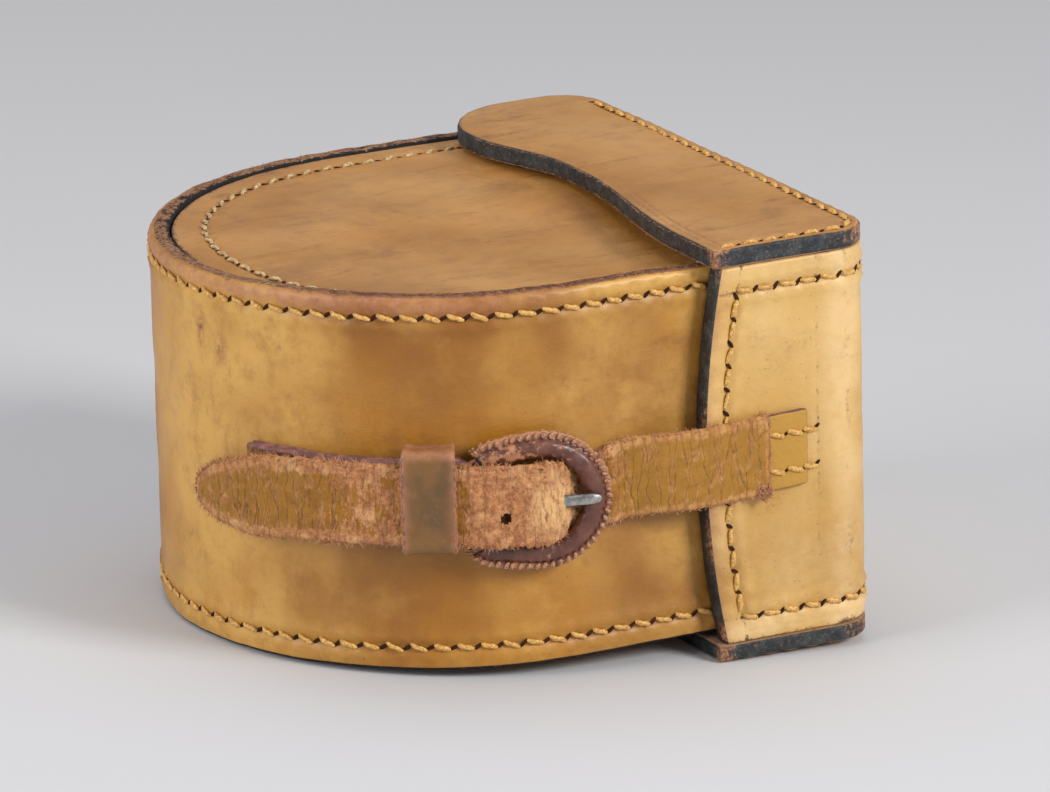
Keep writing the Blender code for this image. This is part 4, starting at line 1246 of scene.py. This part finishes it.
def strap_marks():
    """Stations of the strap, sewn end to tip: centre, width and thickness."""
    wide, thick = STRAP_WIDTH, STRAP_THICK
    flat, thin = LID_FACE + thick / 2, LID_FACE + STRAP_END_THICK / 2
    root, ring = STRAP_ROOT_Z, BUCKLE_Z
    marks = [
        (on_skin(STRAP_END_X, thin - 0.2), root + 0.2, wide - 1.0, STRAP_END_THICK * 0.35),
        (on_skin(STRAP_END_X - 0.5, thin), root + 0.2, wide - 0.5, STRAP_END_THICK),
        (on_skin(34.5, thin), root + 0.1, wide - 0.4, STRAP_END_THICK),
        (on_skin(31.2, thin), root, wide - 0.4, STRAP_END_THICK),
        (on_skin(30.6, thin + 0.1), root, wide, STRAP_END_THICK + 0.2),
        (on_skin(29.8, flat), root, wide, thick),
        (on_skin(25.0, flat), root - 0.2, wide, thick),
        (on_skin(20.5, flat), root - 0.4, wide, thick),
        (on_skin(15.5, flat - 0.9), root - 0.6, wide, thick),
        (on_skin(10.5, 2.6), root - 0.8, wide, thick),
        (on_skin(6.0, 1.55), root - 1.1, wide, thick),
        (in_buckle(21.8, -2.75), ring + 0.5, wide - 0.3, thick),
        (in_buckle(19.6, -2.65), ring + 0.3, 11.0, thick),
        (in_buckle(17.4, -2.5), ring, 6.0, thick),
        (in_buckle(16.0, -2.2), ring, 5.4, thick),
        (in_buckle(14.8, -1.0), ring, 7.8, thick),
        (in_buckle(13.4, 0.6), ring, 11.0, thick),
        (in_buckle(11.8, 2.2), ring, 12.9, thick),
        (in_buckle(8.8, 3.25), ring + 0.2, wide, thick),
        (in_buckle(4.5, 3.5), ring + 0.4, wide, thick),
        (in_buckle(0.5, 3.45), ring + 0.6, wide, thick),
        (on_skin(-21.4, 5.25), 29.6, wide, thick),
        (on_skin(-26.0, 5.0), 29.8, wide, thick),
        (on_skin(-36.0, 5.0), 29.9, wide, thick),
        (on_skin(-41.0, 5.0), 29.9, wide, thick),
        (on_skin(-47.0, 4.5), 29.6, wide, thick),
        (on_skin(-53.0, 4.2), 28.9, wide, thick),
        (on_skin(-57.5, 4.0), 28.5, wide - 1.7, thick),
        (on_skin(-61.5, 3.2), 27.9, wide - 3.3, thick),
        (on_skin(-64.8, 2.5), 27.3, wide - 5.6, thick),
        (on_skin(-67.2, 2.0), 26.8, wide - 7.8, thick * 0.9),
        (on_skin(-68.4, 1.8), 26.6, wide - 9.6, thick * 0.75),
        (on_skin(-69.1, 1.7), 26.5, wide - 11.6, thick * 0.45),
    ]
    return smooth([(x, y, z, w, t) for (x, y), z, w, t in marks], 9)


def raggedness(x):
    """How badly the strap's edges are frayed, from the root to the tip."""
    ring_part = bell(x + 8.0, 8.0)
    middle = ease((-x - 12.0) / 6.0)
    tip = 0.35 * ease((-x - 38.0) / 8.0)
    return 0.22 + 0.72 * max(ring_part, middle * (1 - tip)) - 0.12 * ease((x - 30.0) / 1.0)


def strap_relief(p, s, across, side):
    """Shredded faces and ragged edges; the strap is tidier where it is sewn and in the keeper."""
    x = p[0]
    if x > SEWN_X:
        return 0.03 * noise3(s, across, side, 0.9), 0.06 * noise3(s, side, across, 0.4)
    rough = raggedness(x)
    crack = max(0.0, 0.5 - abs(noise3(s * 1.2, across * 0.12, 3, 0.55)) * 9.0)
    in_ring = ease((x + 22.5) / 2.0) * ease((1.0 - x) / 3.0)
    shred = (0.30 + 0.25 * in_ring) * noise3(s, across, side * 3, 0.9) * rough
    shred += (0.12 + 0.18 * in_ring) * noise3(s, across, 9, 2.4)
    ridged = max(in_ring, ease((-x - 24.0) / 3.0) * ease((x + 46.0) / 10.0)) * (side > 0)
    shred += 0.42 * ridged * noise3(s, across * 0.22, 5, 0.85)
    push = shred - 0.16 * crack * (side > 0)
    free = 1.0 - 0.5 * math.exp(-((x + 31.0) / 11.5) ** 4)
    widen = rough * free * (1.1 * noise3(s, across, side * 5, 0.8) + 0.9 * noise3(s, across, 1, 2.2))
    return push * (0.8 if side > 0 else 0.4), widen


def strap_looks(stations, travelled, section):
    """How frayed, whole or bald the strap is at each point, and its flat coordinates."""
    marks, uv = Marks(), []
    for (x, _, _, width, _), s in zip(stations, travelled):
        rough = raggedness(x)
        heavy = 1.15 * ease((x + 22.5) / 1.5) * ease((2.0 - x) / 3.0)
        heavy = max(heavy, 0.80 * ease((-x - 24.0) / 3.0) * ease((x + 45.0) / 10.0))
        ends = max(bell(x - 30.6, 0.5), bell(travelled[-1] - s, 1.1))
        whole = max(ease((x - 30.8) / 0.6), 0.45 * ease((x - 2.0) / 6.0), 0.2 * ease((-x - 40) / 4))
        bald = ease((x + 13.5) / 3.0) * ease((-2.0 - x) / 2.0)
        for side, v, _, _ in section:
            across = v * width / 2
            border = bell(width / 2 - abs(across), 0.55 + 1.35 * rough)
            fray = max(border * (0.6 + 0.5 * rough), 0.75 * heavy, ends)
            if x > SEWN_X:
                fray = 0.15 * border
            patch = bald * math.exp(-((across + 0.6) / 4.6) ** 4) * (side > 0)
            marks.add(fray=fray if side > 0 else 0.9, whole=whole, bald=0.85 * patch)
            uv.append((s, across))
    return marks, uv


def repaint(obj, chosen, index):
    for i in np.nonzero(chosen)[0]:
        obj.data.polygons[int(i)].material_index = index


def closing_strap():
    stations = strap_marks()
    section = strip_section(44)
    rings, travelled = strip_rings(stations, section, strap_relief)
    marks, uv = strap_looks(stations, travelled, section)
    hole = np.array([*in_buckle(3.3, 4.4), 27.6])
    flat = rings.reshape(-1, 3)
    near = np.linalg.norm(flat - hole, axis=1)
    for i in np.nonzero(near < 0.85)[0]:
        nx, ny = unit(flat[i][:2])
        flat[i] -= np.array([nx, ny, 0.0]) * 0.9 * ease((0.85 - near[i]) / 0.25)
    obj = skin("closing_strap_leather", rings, ["strap", "hole", "burnt"], [0] * len(section), marks, uv)
    polygons = obj.data.polygons
    centres = np.array([np.mean(flat[list(p.vertices)], axis=0) for p in polygons])
    facing = np.array([p.normal.y for p in polygons])
    # Faces round the strap's hole are painted dark: painted shade in the hole.
    repaint(obj, np.linalg.norm(centres - hole, axis=1) < 0.95, 1)
    repaint(obj, (centres[:, 0] > SEWN_X) & (facing > -0.75), 2)
    roughen(obj, 0.05, 0.9, 5.0)
    piece(obj, ["closing_strap"])
    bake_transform(obj)
    obj = strap_fibres(stations)
    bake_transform(obj)


def strap_fibres(stations):
    """Loose fibres on the strap: its edges and face, its tip, and the torn end at its root."""
    rand = random.Random(11)
    batch = Batch(["fray"])
    pts, normals, _ = strip_frames(stations)
    last = len(stations) - 1
    for _ in range(2600):
        i = rand.randrange(34, last)
        p, n, (_, _, _, width, thick) = pts[i], normals[i], stations[i]
        rough = raggedness(p[0])
        if rand.random() > 0.25 + rough * 0.75:
            continue
        ahead = unit(pts[min(i + 1, last)] - pts[i - 1])
        side = rand.choice((-1, 1))
        at = side * (width / 2 - rand.uniform(0.0, 0.5))
        outward = UP * side
        if abs(p[0] + 8.5) < 7.5 and rand.random() < 0.7:
            at = rand.uniform(-1, 1) * width / 2
            outward = n * 0.6 + ahead * rand.uniform(-1, 1) + UP * rand.uniform(-1, 1)
        start = p + UP * at + n * thick * rand.uniform(-0.45, 0.5)
        lean = outward * rand.uniform(0.5, 1.0) + ahead * rand.uniform(-0.9, 0.9)
        lean = lean + n * rand.uniform(-0.1, 0.5)
        fibre_tube(batch, rand, start, lean, rand.uniform(0.4, 0.8 + 0.7 * rough), 1.35)
    ahead = unit(pts[last] - pts[last - 3])
    for _ in range(110):
        i = last - rand.randrange(0, 9)
        start = pts[i] + UP * rand.uniform(-0.5, 0.5) * stations[i][3] + normals[i] * rand.uniform(-0.5, 0.7)
        lean = ahead + UP * rand.uniform(-0.7, 0.7) + normals[i] * rand.uniform(-0.2, 0.4)
        fibre_tube(batch, rand, start, lean, rand.uniform(0.4, 1.2))
    for _ in range(170):
        start = (30.55 + rand.uniform(-0.3, 0.3), -(RADIUS + LID_FACE + 1.3),
                 STRAP_ROOT_Z + rand.uniform(-0.5, 0.5) * STRAP_WIDTH)
        lean = (rand.uniform(0.2, 1.0), -rand.uniform(0.0, 0.5), rand.uniform(-0.7, 0.7))
        fibre_tube(batch, rand, start, lean, rand.uniform(0.4, 1.1))
    for _ in range(150):
        start = (30.0 + rand.uniform(-1.3, 0.8), -(RADIUS + LID_FACE + 1.75),
                 STRAP_ROOT_Z - STRAP_WIDTH / 2 + rand.uniform(-0.5, 1.9))
        lean = (rand.uniform(-0.6, 1.0), -rand.uniform(0.1, 0.6), rand.uniform(-1.0, 0.4))
        fibre_tube(batch, rand, start, lean, rand.uniform(0.5, 1.3), 1.9)
    return batch.build("strap_fibres")


def fibre_tube(batch, rand, start, lean, length, fine=1.0, mat="fray"):
    """One loose fibre or tuft: a thin tapered spike with a bend in it."""
    start, lean = np.asarray(start, dtype=float), unit(np.asarray(lean, dtype=float))
    side = unit(np.cross(lean, (0.3, 0.5, 0.8)))
    other = np.cross(lean, side)
    bend = side * rand.uniform(-0.4, 0.4) + other * rand.uniform(-0.4, 0.4)
    thick = rand.uniform(0.05, 0.13) * fine
    rings = []
    for k in range(4):
        t = k / 3
        centre = start + lean * length * t + bend * length * t * t
        size = thick * (1 - 0.85 * t)
        rings.append([centre + (side * math.cos(a) + other * math.sin(a)) * size
                      for a in (0.0, 1.57, 3.14, 4.71)])
    batch.rings(rings, mat)


def loose(batch, name, body):
    obj = batch.build(name)
    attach(obj, body)


def raw_edge_fibres():
    """Short fibres raised on the cut edges of the band, the lid's flap and the keeper."""
    rand = random.Random(33)
    batch = Batch(["fray"])
    for _ in range(1500):
        x, y, nx, ny = BODY_ROUTE.at(rand.uniform(1.0, BODY_ROUTE.length - 1.0))
        inset = rand.uniform(0.6, 3.2)
        start = (x - nx * inset, y - ny * inset, HEIGHT - 0.06 + rim_lift(x, y))
        lean = (rand.uniform(-1, 1), rand.uniform(-1, 1), rand.uniform(0.15, 0.6))
        fibre_tube(batch, rand, start, lean, rand.uniform(0.25, 0.55), 0.5)
    loose(batch, "band_edge_fibres", "body")

    batch = Batch(["fray"])
    for _ in range(900):
        y = rand.uniform(LID_SIDE_Y + 0.5, CUTBACK_FAR[1])
        arris = rand.choice((PANEL_LOW[2] + 0.15, PANEL_LOW[2] + 0.3, PANEL_HIGH[2] - 0.25))
        start = (float(flap_edge(y)) + 0.1, y, arris)
        lean = (rand.uniform(-1, -0.2), rand.uniform(-1, 1), rand.uniform(-0.4, 0.5))
        fibre_tube(batch, rand, start, lean, rand.uniform(0.2, 0.5), 0.5)
    loose(batch, "flap_edge_fibres", "lid")

    batch = Batch(["fray"])
    for _ in range(420):
        s, way = rand.choice(((KEEPER_ENDS[0] + 0.05, -1), (KEEPER_ENDS[1] - 0.05, 1)))
        z = rand.uniform(KEEPER_LOW[2] + 0.8, KEEPER_HIGH[2] - 0.8)
        x, y = on_skin(s, KEEPER_OUT + rand.uniform(-0.45, 0.25))
        ahead = np.array([1.0, -0.45, 0.0]) * way
        lean = ahead * rand.uniform(0.2, 1.0) + np.array([x / 60, y / 60, rand.uniform(-0.7, 0.7)])
        fibre_tube(batch, rand, (x, y, z), lean, rand.uniform(0.2, 0.5), 0.6)
    loose(batch, "keeper_edge_fibres", "keeper")


CHAPE_WIDTH, CHAPE_EYE_WIDTH, CHAPE_THICK = 13.2, 11.6, 1.2
CHAPE_Z, CHAPE_TAIL, FRAME_WIRE = 30.3, -56.5, 0.8
KEEPER_ENDS, KEEPER_OUT = (-29.6, -21.9), 7.15


def pressed(start, end, top, proud, sink, z, rise):
    """Path of a thread on the skin from start to end, pulled into the leather at both ends."""
    path = []
    for k in range(11):
        q = 2 * k / 10 - 1
        s = (start + end) / 2 + (end - start) / 2 * q
        path.append((*on_skin(s, top + proud - sink * abs(q) ** 5), z + rise * q))
    return path


def buckle_chape():
    wide, thick = CHAPE_WIDTH, CHAPE_THICK
    under = [(CHAPE_TAIL, 0.75), (-52.5, 0.75), (-48.0, 0.8), (-45.0, 1.4), (-42.0, 1.9),
             (-35.0, 1.95), (-28.0, 1.95), (-23.5, 1.92), (-21.2, 1.85)]
    lift = thick + 0.12
    marks = [(*on_skin(s, h), CHAPE_Z, wide, thick) for s, h in under]
    eye = FRAME_WIRE + 0.1 + thick / 2
    for i in range(9):
        a = math.radians(-100 + 200 * i / 8)
        marks.append((*in_buckle(eye * math.cos(a), eye * math.sin(a)), BUCKLE_Z, CHAPE_EYE_WIDTH, thick))
    marks += [(*on_skin(s, h + lift), CHAPE_Z, wide, thick) for s, h in reversed(under)]
    stations = smooth(marks, 8)

    def relief(p, s, across, side):
        return 0.05 * noise3(s, across, side, 0.5), 0.10 * noise3(s, side * 4, 2, 0.6)

    section = strip_section(26)
    rings, travelled = strip_rings(stations, section, relief, -1.0)
    looks = Marks()
    for s, station in zip(travelled, stations):
        for side, v, _, _ in section:
            looks.add(wear=held(0.15 + 0.5 * noise3(s, v * 6, side, 0.3)),
                      # Darker towards the chape's edges.
                      dirt=0.7 * bell((1 - abs(v)) * station[3] / 2, 0.9))
    obj = skin("buckle_chape_leather", rings, ["chape", "burnt"], edge_bands(section), looks)
    roughen(obj, 0.03, 1.0, 14.0)
    piece(obj, ["buckle_chape"], "body")

    top = 0.75 + lift + thick / 2
    over_end = ((0.8, top - 0.3), (0.1, top + 0.2), (-0.55, top - 0.1), (-0.9, 1.6), (-1.3, 0.85),
                (-2.0, 0.3))
    over = smooth([(CHAPE_TAIL + past, h) for past, h in over_end], 4)
    for name, z in (("lower", CHAPE_Z - 3.4), ("upper", CHAPE_Z + 3.9)):
        batch = Batch(["thread", "hole"])
        for a, b in ((-47.8, -50.6), (-51.8, -54.6)):
            x, y = on_skin((a + b) / 2, 1.0)
            batch.thread(pressed(a, b, top, 0.18, 0.55, z, 0.3), (x / 50, y / 50, 0), 0.4, "thread")
        x, y = on_skin(CHAPE_TAIL, 1.0)
        batch.thread([(*on_skin(s, h), z) for s, h in over], (x / 50, y / 50, 0.1), 0.38, "thread")
        for s in (-47.3, -51.2, -55.1):
            x, y = on_skin(s, top + 0.02)
            n = unit(np.array([x, y, 0]))
            # Dark blobs: painted shade in the awl holes.
            batch.blob((x, y, z), np.array([-n[1], n[0], 0]) * 0.4, UP * 0.55, n * 0.1, "hole")
        piece(batch.build("chape_%s_threads" % name), ["chape_%s_stitches" % name], "body")


def root_stitches():
    """Threads that hold the closing strap's sewn end down on the lid."""
    top = LID_FACE + STRAP_END_THICK
    over = smooth([(37.7, top - 0.15), (STRAP_END_X, top + 0.2), (39.0, top - 0.25), (39.8, top - 0.85),
                   (40.7, top - 1.3)], 4)
    for name, z in (("lower", STRAP_ROOT_Z - 3.3), ("upper", STRAP_ROOT_Z + 3.0)):
        batch = Batch(["thread", "hole"])
        for a, b in ((31.2, 34.0), (34.6, 37.4)):
            batch.thread(pressed(a, b, top, 0.16, 0.5, z, -0.45), (0, -1, 0), 0.46, "thread")
        path = [(*on_skin(s, h), z + 0.35 - 0.9 * k / 16) for k, (s, h) in enumerate(over)]
        batch.thread(path, (0, -1, 0.1), 0.44, "thread")
        for s in (34.3, 37.6, 40.7):
            x, y = on_skin(s, top + 0.03 if s < STRAP_END_X else top - 1.08)
            # Dark blobs: painted shade in the awl holes.
            batch.blob((x, y, z), (0.55, 0, 0.45), (-0.18, 0, 0.22), (0, -0.1, 0), "hole")
        piece(batch.build("strap_%s_threads" % name), ["strap_%s_stitches" % name], "lid")


def strap_keeper():
    """The sliding loop: a strip of leather closed round the chape and the strap."""
    low, high = KEEPER_LOW[2], KEEPER_HIGH[2]
    h0, h1, thick, corner = 0.15, KEEPER_OUT, 1.0, 1.15
    inset = thick / 2
    sides = (((h1 - inset, low + inset + corner), (h1 - inset, high - inset - corner), 0),
             ((h1 - inset - corner, high - inset), (h0 + inset + corner, high - inset), 90),
             ((h0 + inset, high - inset - corner), (h0 + inset, low + inset + corner), 180),
             ((h0 + inset + corner, low + inset), (h1 - inset - corner, low + inset), 270))
    loop = []
    for (ha, za), (hb, zb), angle in sides:
        count = max(2, round(math.hypot(hb - ha, zb - za) / 0.45))
        a0 = math.radians(angle)
        nh, nz = math.cos(a0), math.sin(a0)
        loop += [(ha + (hb - ha) * k / count, za + (zb - za) * k / count, nh, nz) for k in range(count)]
        ch, cz = hb - nh * corner, zb - nz * corner
        for k in range(6):
            a = a0 + math.pi / 2 * k / 6
            loop.append((ch + corner * math.cos(a), cz + corner * math.sin(a), math.cos(a), math.sin(a)))
    section = strip_section(22, 3)
    rings, marks = [], Marks()
    middle, half = sum(KEEPER_ENDS) / 2, (KEEPER_ENDS[1] - KEEPER_ENDS[0]) / 2
    for h, z, nh, nz in loop:
        ring = []
        for side, v, depth, tuck in section:
            across = v * (half - thick / 2 * (0.9 if tuck is None else tuck))
            edge = bell(half - abs(across), 0.8)
            swell = 0.22 * edge - 0.08 + 0.10 * noise3(across, z, h, 0.5) if side > 0 and h > 1.0 else 0.0
            ragged = 0.16 * noise3(z, h, v * 3, 0.9) if abs(v) > 0.99 else 0.0
            w = side * depth * thick / 2 + swell
            x, y = on_skin(middle + across + math.copysign(ragged, v), h + nh * w)
            ring.append((x, y, z + nz * w))
            # Paler and pinker on the keeper's edges and upward faces, and darker on its inner face.
            marks.add(wear=0.75 * edge + 0.15 * (nz > 0.3), pink=0.75 * max(nz, 0) + 0.3 * edge,
                      dirt=0.35 * (side < 0))
        rings.append(ring)
    obj = skin("strap_keeper_leather", rings, ["keeper", "burnt"], edge_bands(section), marks, loop=True)
    roughen(obj, 0.05, 0.8, 31.0)
    piece(obj, ["strap_keeper"], "keeper")


# ---- buckle ------------------------------------------------------------------------------------

CORE_INSET = 0.4
ARM = ((6.0, 8.5), (2.7, 7.9))
BAR_CORNER = ((1.2, 7.6), (0.35, 6.9), (0.0, 6.0))


def frame_line():
    """(u, z) of the buckle's wire: the ring and arms that leather covers, then the bare bar."""
    radius = RING_RADIUS - CORE_INSET
    sweep = math.radians(95)
    steps = 110
    angles = [sweep * (1 - 2 * i / steps) for i in range(steps + 1)]
    ring = [(RING_U + radius * math.cos(a), radius * math.sin(a)) for a in angles]
    first = smooth([ARM[1], ARM[0], ring[0]], 9)[:-1]
    last = smooth([(ring[-1][0], ring[-1][1]), (ARM[0][0], -ARM[0][1]), (ARM[1][0], -ARM[1][1])], 9)[1:]
    covered = first + ring + last
    corner = smooth([(ARM[1][0], -ARM[1][1])] + [(u, -z) for u, z in BAR_CORNER]
                    + list(reversed(BAR_CORNER)) + [ARM[1]], 6)[1:-1]
    return covered, corner


def frame_stations(line, closed):
    """Each point of a line with the direction out of the ring there."""
    stations = []
    for i, (u, z) in enumerate(line):
        pu, pz = line[i - 1] if (i or closed) else line[0]
        nu, nz = line[(i + 1) % len(line)] if (i + 1 < len(line) or closed) else line[-1]
        length = math.hypot(nu - pu, nz - pz)
        stations.append((u, z, (pz - nz) / length, (nu - pu) / length))
    return stations


def frame_point(station, q, w):
    u, z, su, sz = station
    x, y = in_buckle(u + su * q, w)
    return (x, y, BUCKLE_Z + z + sz * q)


def buckle_frame():
    covered, corner = frame_line()
    rings = []
    for station in frame_stations(covered + corner, True):
        rings.append([frame_point(station, FRAME_WIRE * math.cos(a), FRAME_WIRE * math.sin(a))
                      for a in (2 * math.pi * j / 14 for j in range(14))])
    obj = skin("buckle_wire", rings, ["steel"], None, None, None, True)
    piece(obj, ["buckle_frame"], "buckle")


def cover_section(crown, half, root):
    """(out, up) section of the ring's leather: rounded over the wire, pinched to a flange outside."""
    upper = [(half + 0.05, 0.12), (half, 0.45), (root, 0.6), (root - 0.7, 0.85 * crown), (-0.4, crown),
             (0.9 - half, 0.9 * crown), (0.2 - half, 0.5 * crown), (-half, 0.0)]
    fine = smooth(upper, 5)
    return fine + [(q, -w) for q, w in reversed(fine[:-1])]


def buckle_cover():
    covered, corner = frame_line()
    turned = len(corner) // 2 - 1
    stations = frame_stations(corner[-turned:] + covered + corner[:turned], False)
    crown, half, flange = 1.5, 2.3, 1.0
    root = half - flange
    section = cover_section(crown, half, root)
    rings, marks = [], Marks()
    count = len(stations)
    for i, station in enumerate(stations):
        along = i / (count - 1)
        squeeze = 0.50 + 0.50 * math.sqrt(ease(min(i, count - 1 - i) / 20))
        worn_side = 0.5 + 0.5 * math.sin(along * 9.0 + 0.6)
        ring = []
        for q, w in section:
            lump = 0.10 * noise3(q * 2, w * 2, along * 60, 0.35)
            lump += 0.06 * noise3(q * 3, w * 3, along * 150, 0.4)
            scallop = 0.08 * math.cos(2 * math.pi * along * 44) if q > root - 0.5 else 0.0
            scale = squeeze * (1 + lump)
            ring.append(frame_point(station, (q + scallop) * scale + CORE_INSET, w * scale))
            marks.add(wear=0.35 * max(0.0, w / crown) * worn_side + 0.75 * ease((q - root) / 0.4)
                      + 0.25 * (station[1] > 7))
        rings.append(ring)
    obj = skin("ring_cover_leather", rings, ["cover"], None, marks)
    piece(obj, ["buckle_cover"], "buckle")
    obj = cover_stitches(stations, half + CORE_INSET)
    piece(obj, ["buckle_cover_stitches"], "buckle")


def cover_stitches(stations, edge):
    """Beads of oversewn thread on both faces of the ring's flange, and its torn fibres."""
    batch = Batch(["cover_thread", "flange"])
    rand = random.Random(21)
    count = len(stations)
    line = np.array([frame_point(station, edge - 0.4, 0.0) for station in stations])
    travelled = run_length(line)
    beads = int(travelled[-1] / 1.3)
    for i in range(beads):
        at = int(np.searchsorted(travelled, (i + 0.5) * travelled[-1] / beads))
        at = min(max(at, 1), count - 2)
        ahead = unit(line[at + 1] - line[at - 1])
        for face in (1, -1):
            centre = np.array(frame_point(stations[at], edge - 0.45, face * 0.74))
            outward = unit(np.array(frame_point(stations[at], edge + 0.6, face * 0.74)) - centre)
            up = np.cross(ahead, outward)
            slant = unit(outward + ahead * rand.uniform(0.15, 0.45))
            batch.blob(centre, slant * rand.uniform(0.55, 0.68), ahead * 0.42, up * 0.34, "cover_thread")
    for _ in range(240):
        station = stations[rand.randrange(1, count - 1)]
        start = np.array(frame_point(station, edge - 0.1, rand.uniform(-0.4, 0.4)))
        lean = unit(start - np.array(frame_point(station, 0.0, rand.uniform(-0.6, 0.6))))
        lean = lean + np.array([rand.uniform(-0.6, 0.6) for _ in range(3)])
        fibre_tube(batch, rand, start, lean, rand.uniform(0.15, 0.4), mat="flange")
    return batch.build("ring_cover_stitches")


def squircle(a):
    """A point on a circle pulled toward its corners."""
    return tuple(math.copysign(abs(c) ** 0.75, c) for c in (math.cos(a), math.sin(a)))


def buckle_prong():
    eye, thick, width = 1.35, 0.9, 2.0
    rest = 1.5 + 0.12 + thick / 2
    marks = []
    for i in range(13):
        a = math.radians(-60 - 210 * i / 12)
        marks.append((*in_buckle(eye * math.cos(a), eye * math.sin(a)), BUCKLE_Z, width, thick))
    for u, wide, deep in ((6.0, 1.0, 1.0), (14.0, 0.95, 1.0), (17.8, 0.9, 1.0), (19.0, 0.72, 0.8),
                          (19.5, 0.45, 0.55), (19.7, 0.15, 0.2)):
        lift = eye + (rest - eye) * u / SPAN
        marks.append((*in_buckle(u, lift), BUCKLE_Z, width * wide, thick * deep))
    stations = smooth(marks, 6)
    pts, normals, _ = strip_frames(stations)
    corners = [squircle(2 * math.pi * j / 16) for j in range(16)]
    rings = []
    for p, n, (_, _, _, wide, deep) in zip(pts, normals, stations):
        rings.append([p + UP * (across * wide / 2) + n * (up * deep / 2) for across, up in corners])
    obj = skin("prong_steel", rings, ["steel"])
    piece(obj, ["buckle_prong"], "prong")


# ---- stage -------------------------------------------------------------------------------------


def lamp(name, place, size, power, colour):
    """A square softbox aimed at the case."""
    light = bpy.data.lights.new(name, "AREA")
    light.shape = "RECTANGLE"
    light.size = light.size_y = size
    light.energy = power
    light.color = colour
    obj = put(name, light)
    obj.location = place
    obj.rotation_euler = (Vector((0.0, 0.0, 0.03)) - Vector(place)).to_track_quat("-Z", "Y").to_euler()


def paper_floor():
    """A pale paper floor. The case stands on its round end and its lid, so the floor leans under it."""
    n = Nodes("paper_floor")
    axes = n.named(n.add("SeparateXYZ"), Vector=n.place)
    # Painted light: the floor is coloured lighter at the front and left and darker toward the back and right,
    # a painted fall-off of the lamps.
    colour = n.layers(
        (0.652, 0.660, 0.688),
        (n.ramp(axes.outputs["Y"], -0.25, 0.9), (0.52, 0.51, 0.53)),
        (n.ramp(axes.outputs["X"], -0.1, 0.7, 0.0, 0.35), (0.42, 0.415, 0.42)),
        (n.patches(6, 3, 0.55, 0.3, 0.7, 0.0, 0.04), (0.40, 0.40, 0.40)))
    lean, touch = 0.0562, 0.0215
    corners = [(-2.6, -2.6), (2.6, -2.6), (2.6, 3.4), (-2.6, 3.4)]
    mesh = bpy.data.meshes.new("floor")
    mesh.from_pydata([(x, y, -(x - touch) * lean - 0.00005) for x, y in corners], [], [(0, 1, 2, 3)])
    mesh.materials.append(n.finish(colour, 0.85, None, Specular_IOR_Level=0.2))
    put("floor", mesh)


def pale_room():
    room = bpy.data.worlds.new("pale_room")
    room.use_nodes = True
    background = room.node_tree.nodes["Background"]
    background.inputs["Color"].default_value = (0.97, 0.98, 1.0, 1.0)
    background.inputs["Strength"].default_value = 0.38
    bpy.context.scene.world = room


def camera():
    turn, height, roll = math.radians(-26.97), math.radians(16.945), math.radians(-1.49)
    back = Vector((math.sin(turn) * math.cos(height), -math.cos(turn) * math.cos(height), math.sin(height)))
    right = Vector((math.cos(turn), math.sin(turn), 0.0))
    up = back.cross(right)
    across = right * math.cos(roll) + up * math.sin(roll)
    above = up * math.cos(roll) - right * math.sin(roll)
    data = bpy.data.cameras.new("camera")
    data.lens = 266.39
    data.sensor_width = 36.0
    obj = put("camera", data)
    axes = Matrix((across, above, back)).transposed()
    obj.matrix_world = Matrix.Translation((-0.55423, -1.11310, 0.41500)) @ axes.to_4x4()
    bpy.context.scene.camera = obj


def stage():
    paper_floor()
    lamp("key", (0.80, -1.30, 0.85), 0.55, 22.0, (1.0, 0.98, 0.95))
    lamp("fill", (-1.5, -0.15, 0.75), 0.9, 14.0, (1.0, 0.98, 0.97))
    lamp("top", (0.1, 0.35, 1.6), 1.3, 6.0, (0.98, 0.99, 1.0))
    pale_room()
    camera()
    bpy.context.scene.view_settings.view_transform = "Standard"


body_wall()
d_panel("body_top_panel", HEIGHT - 3.3, HEIGHT, 1, 2.0)
d_panel("body_bottom_panel", 0.0, 3.3, -1, 41.0)
hinge_fold()
lid_wall()
lid_panel("lid_top_panel", PANEL_LOW[2], PANEL_HIGH[2], 1, 6.0)
lid_panel("lid_bottom_panel", UNDER_LOW[2], UNDER_HIGH[2], -1, 47.0)
lid_facing()
sewn_rows()
closing_strap()
root_stitches()
buckle_chape()
strap_keeper()
buckle_frame()
buckle_cover()
buckle_prong()
raw_edge_fibres()
stage()
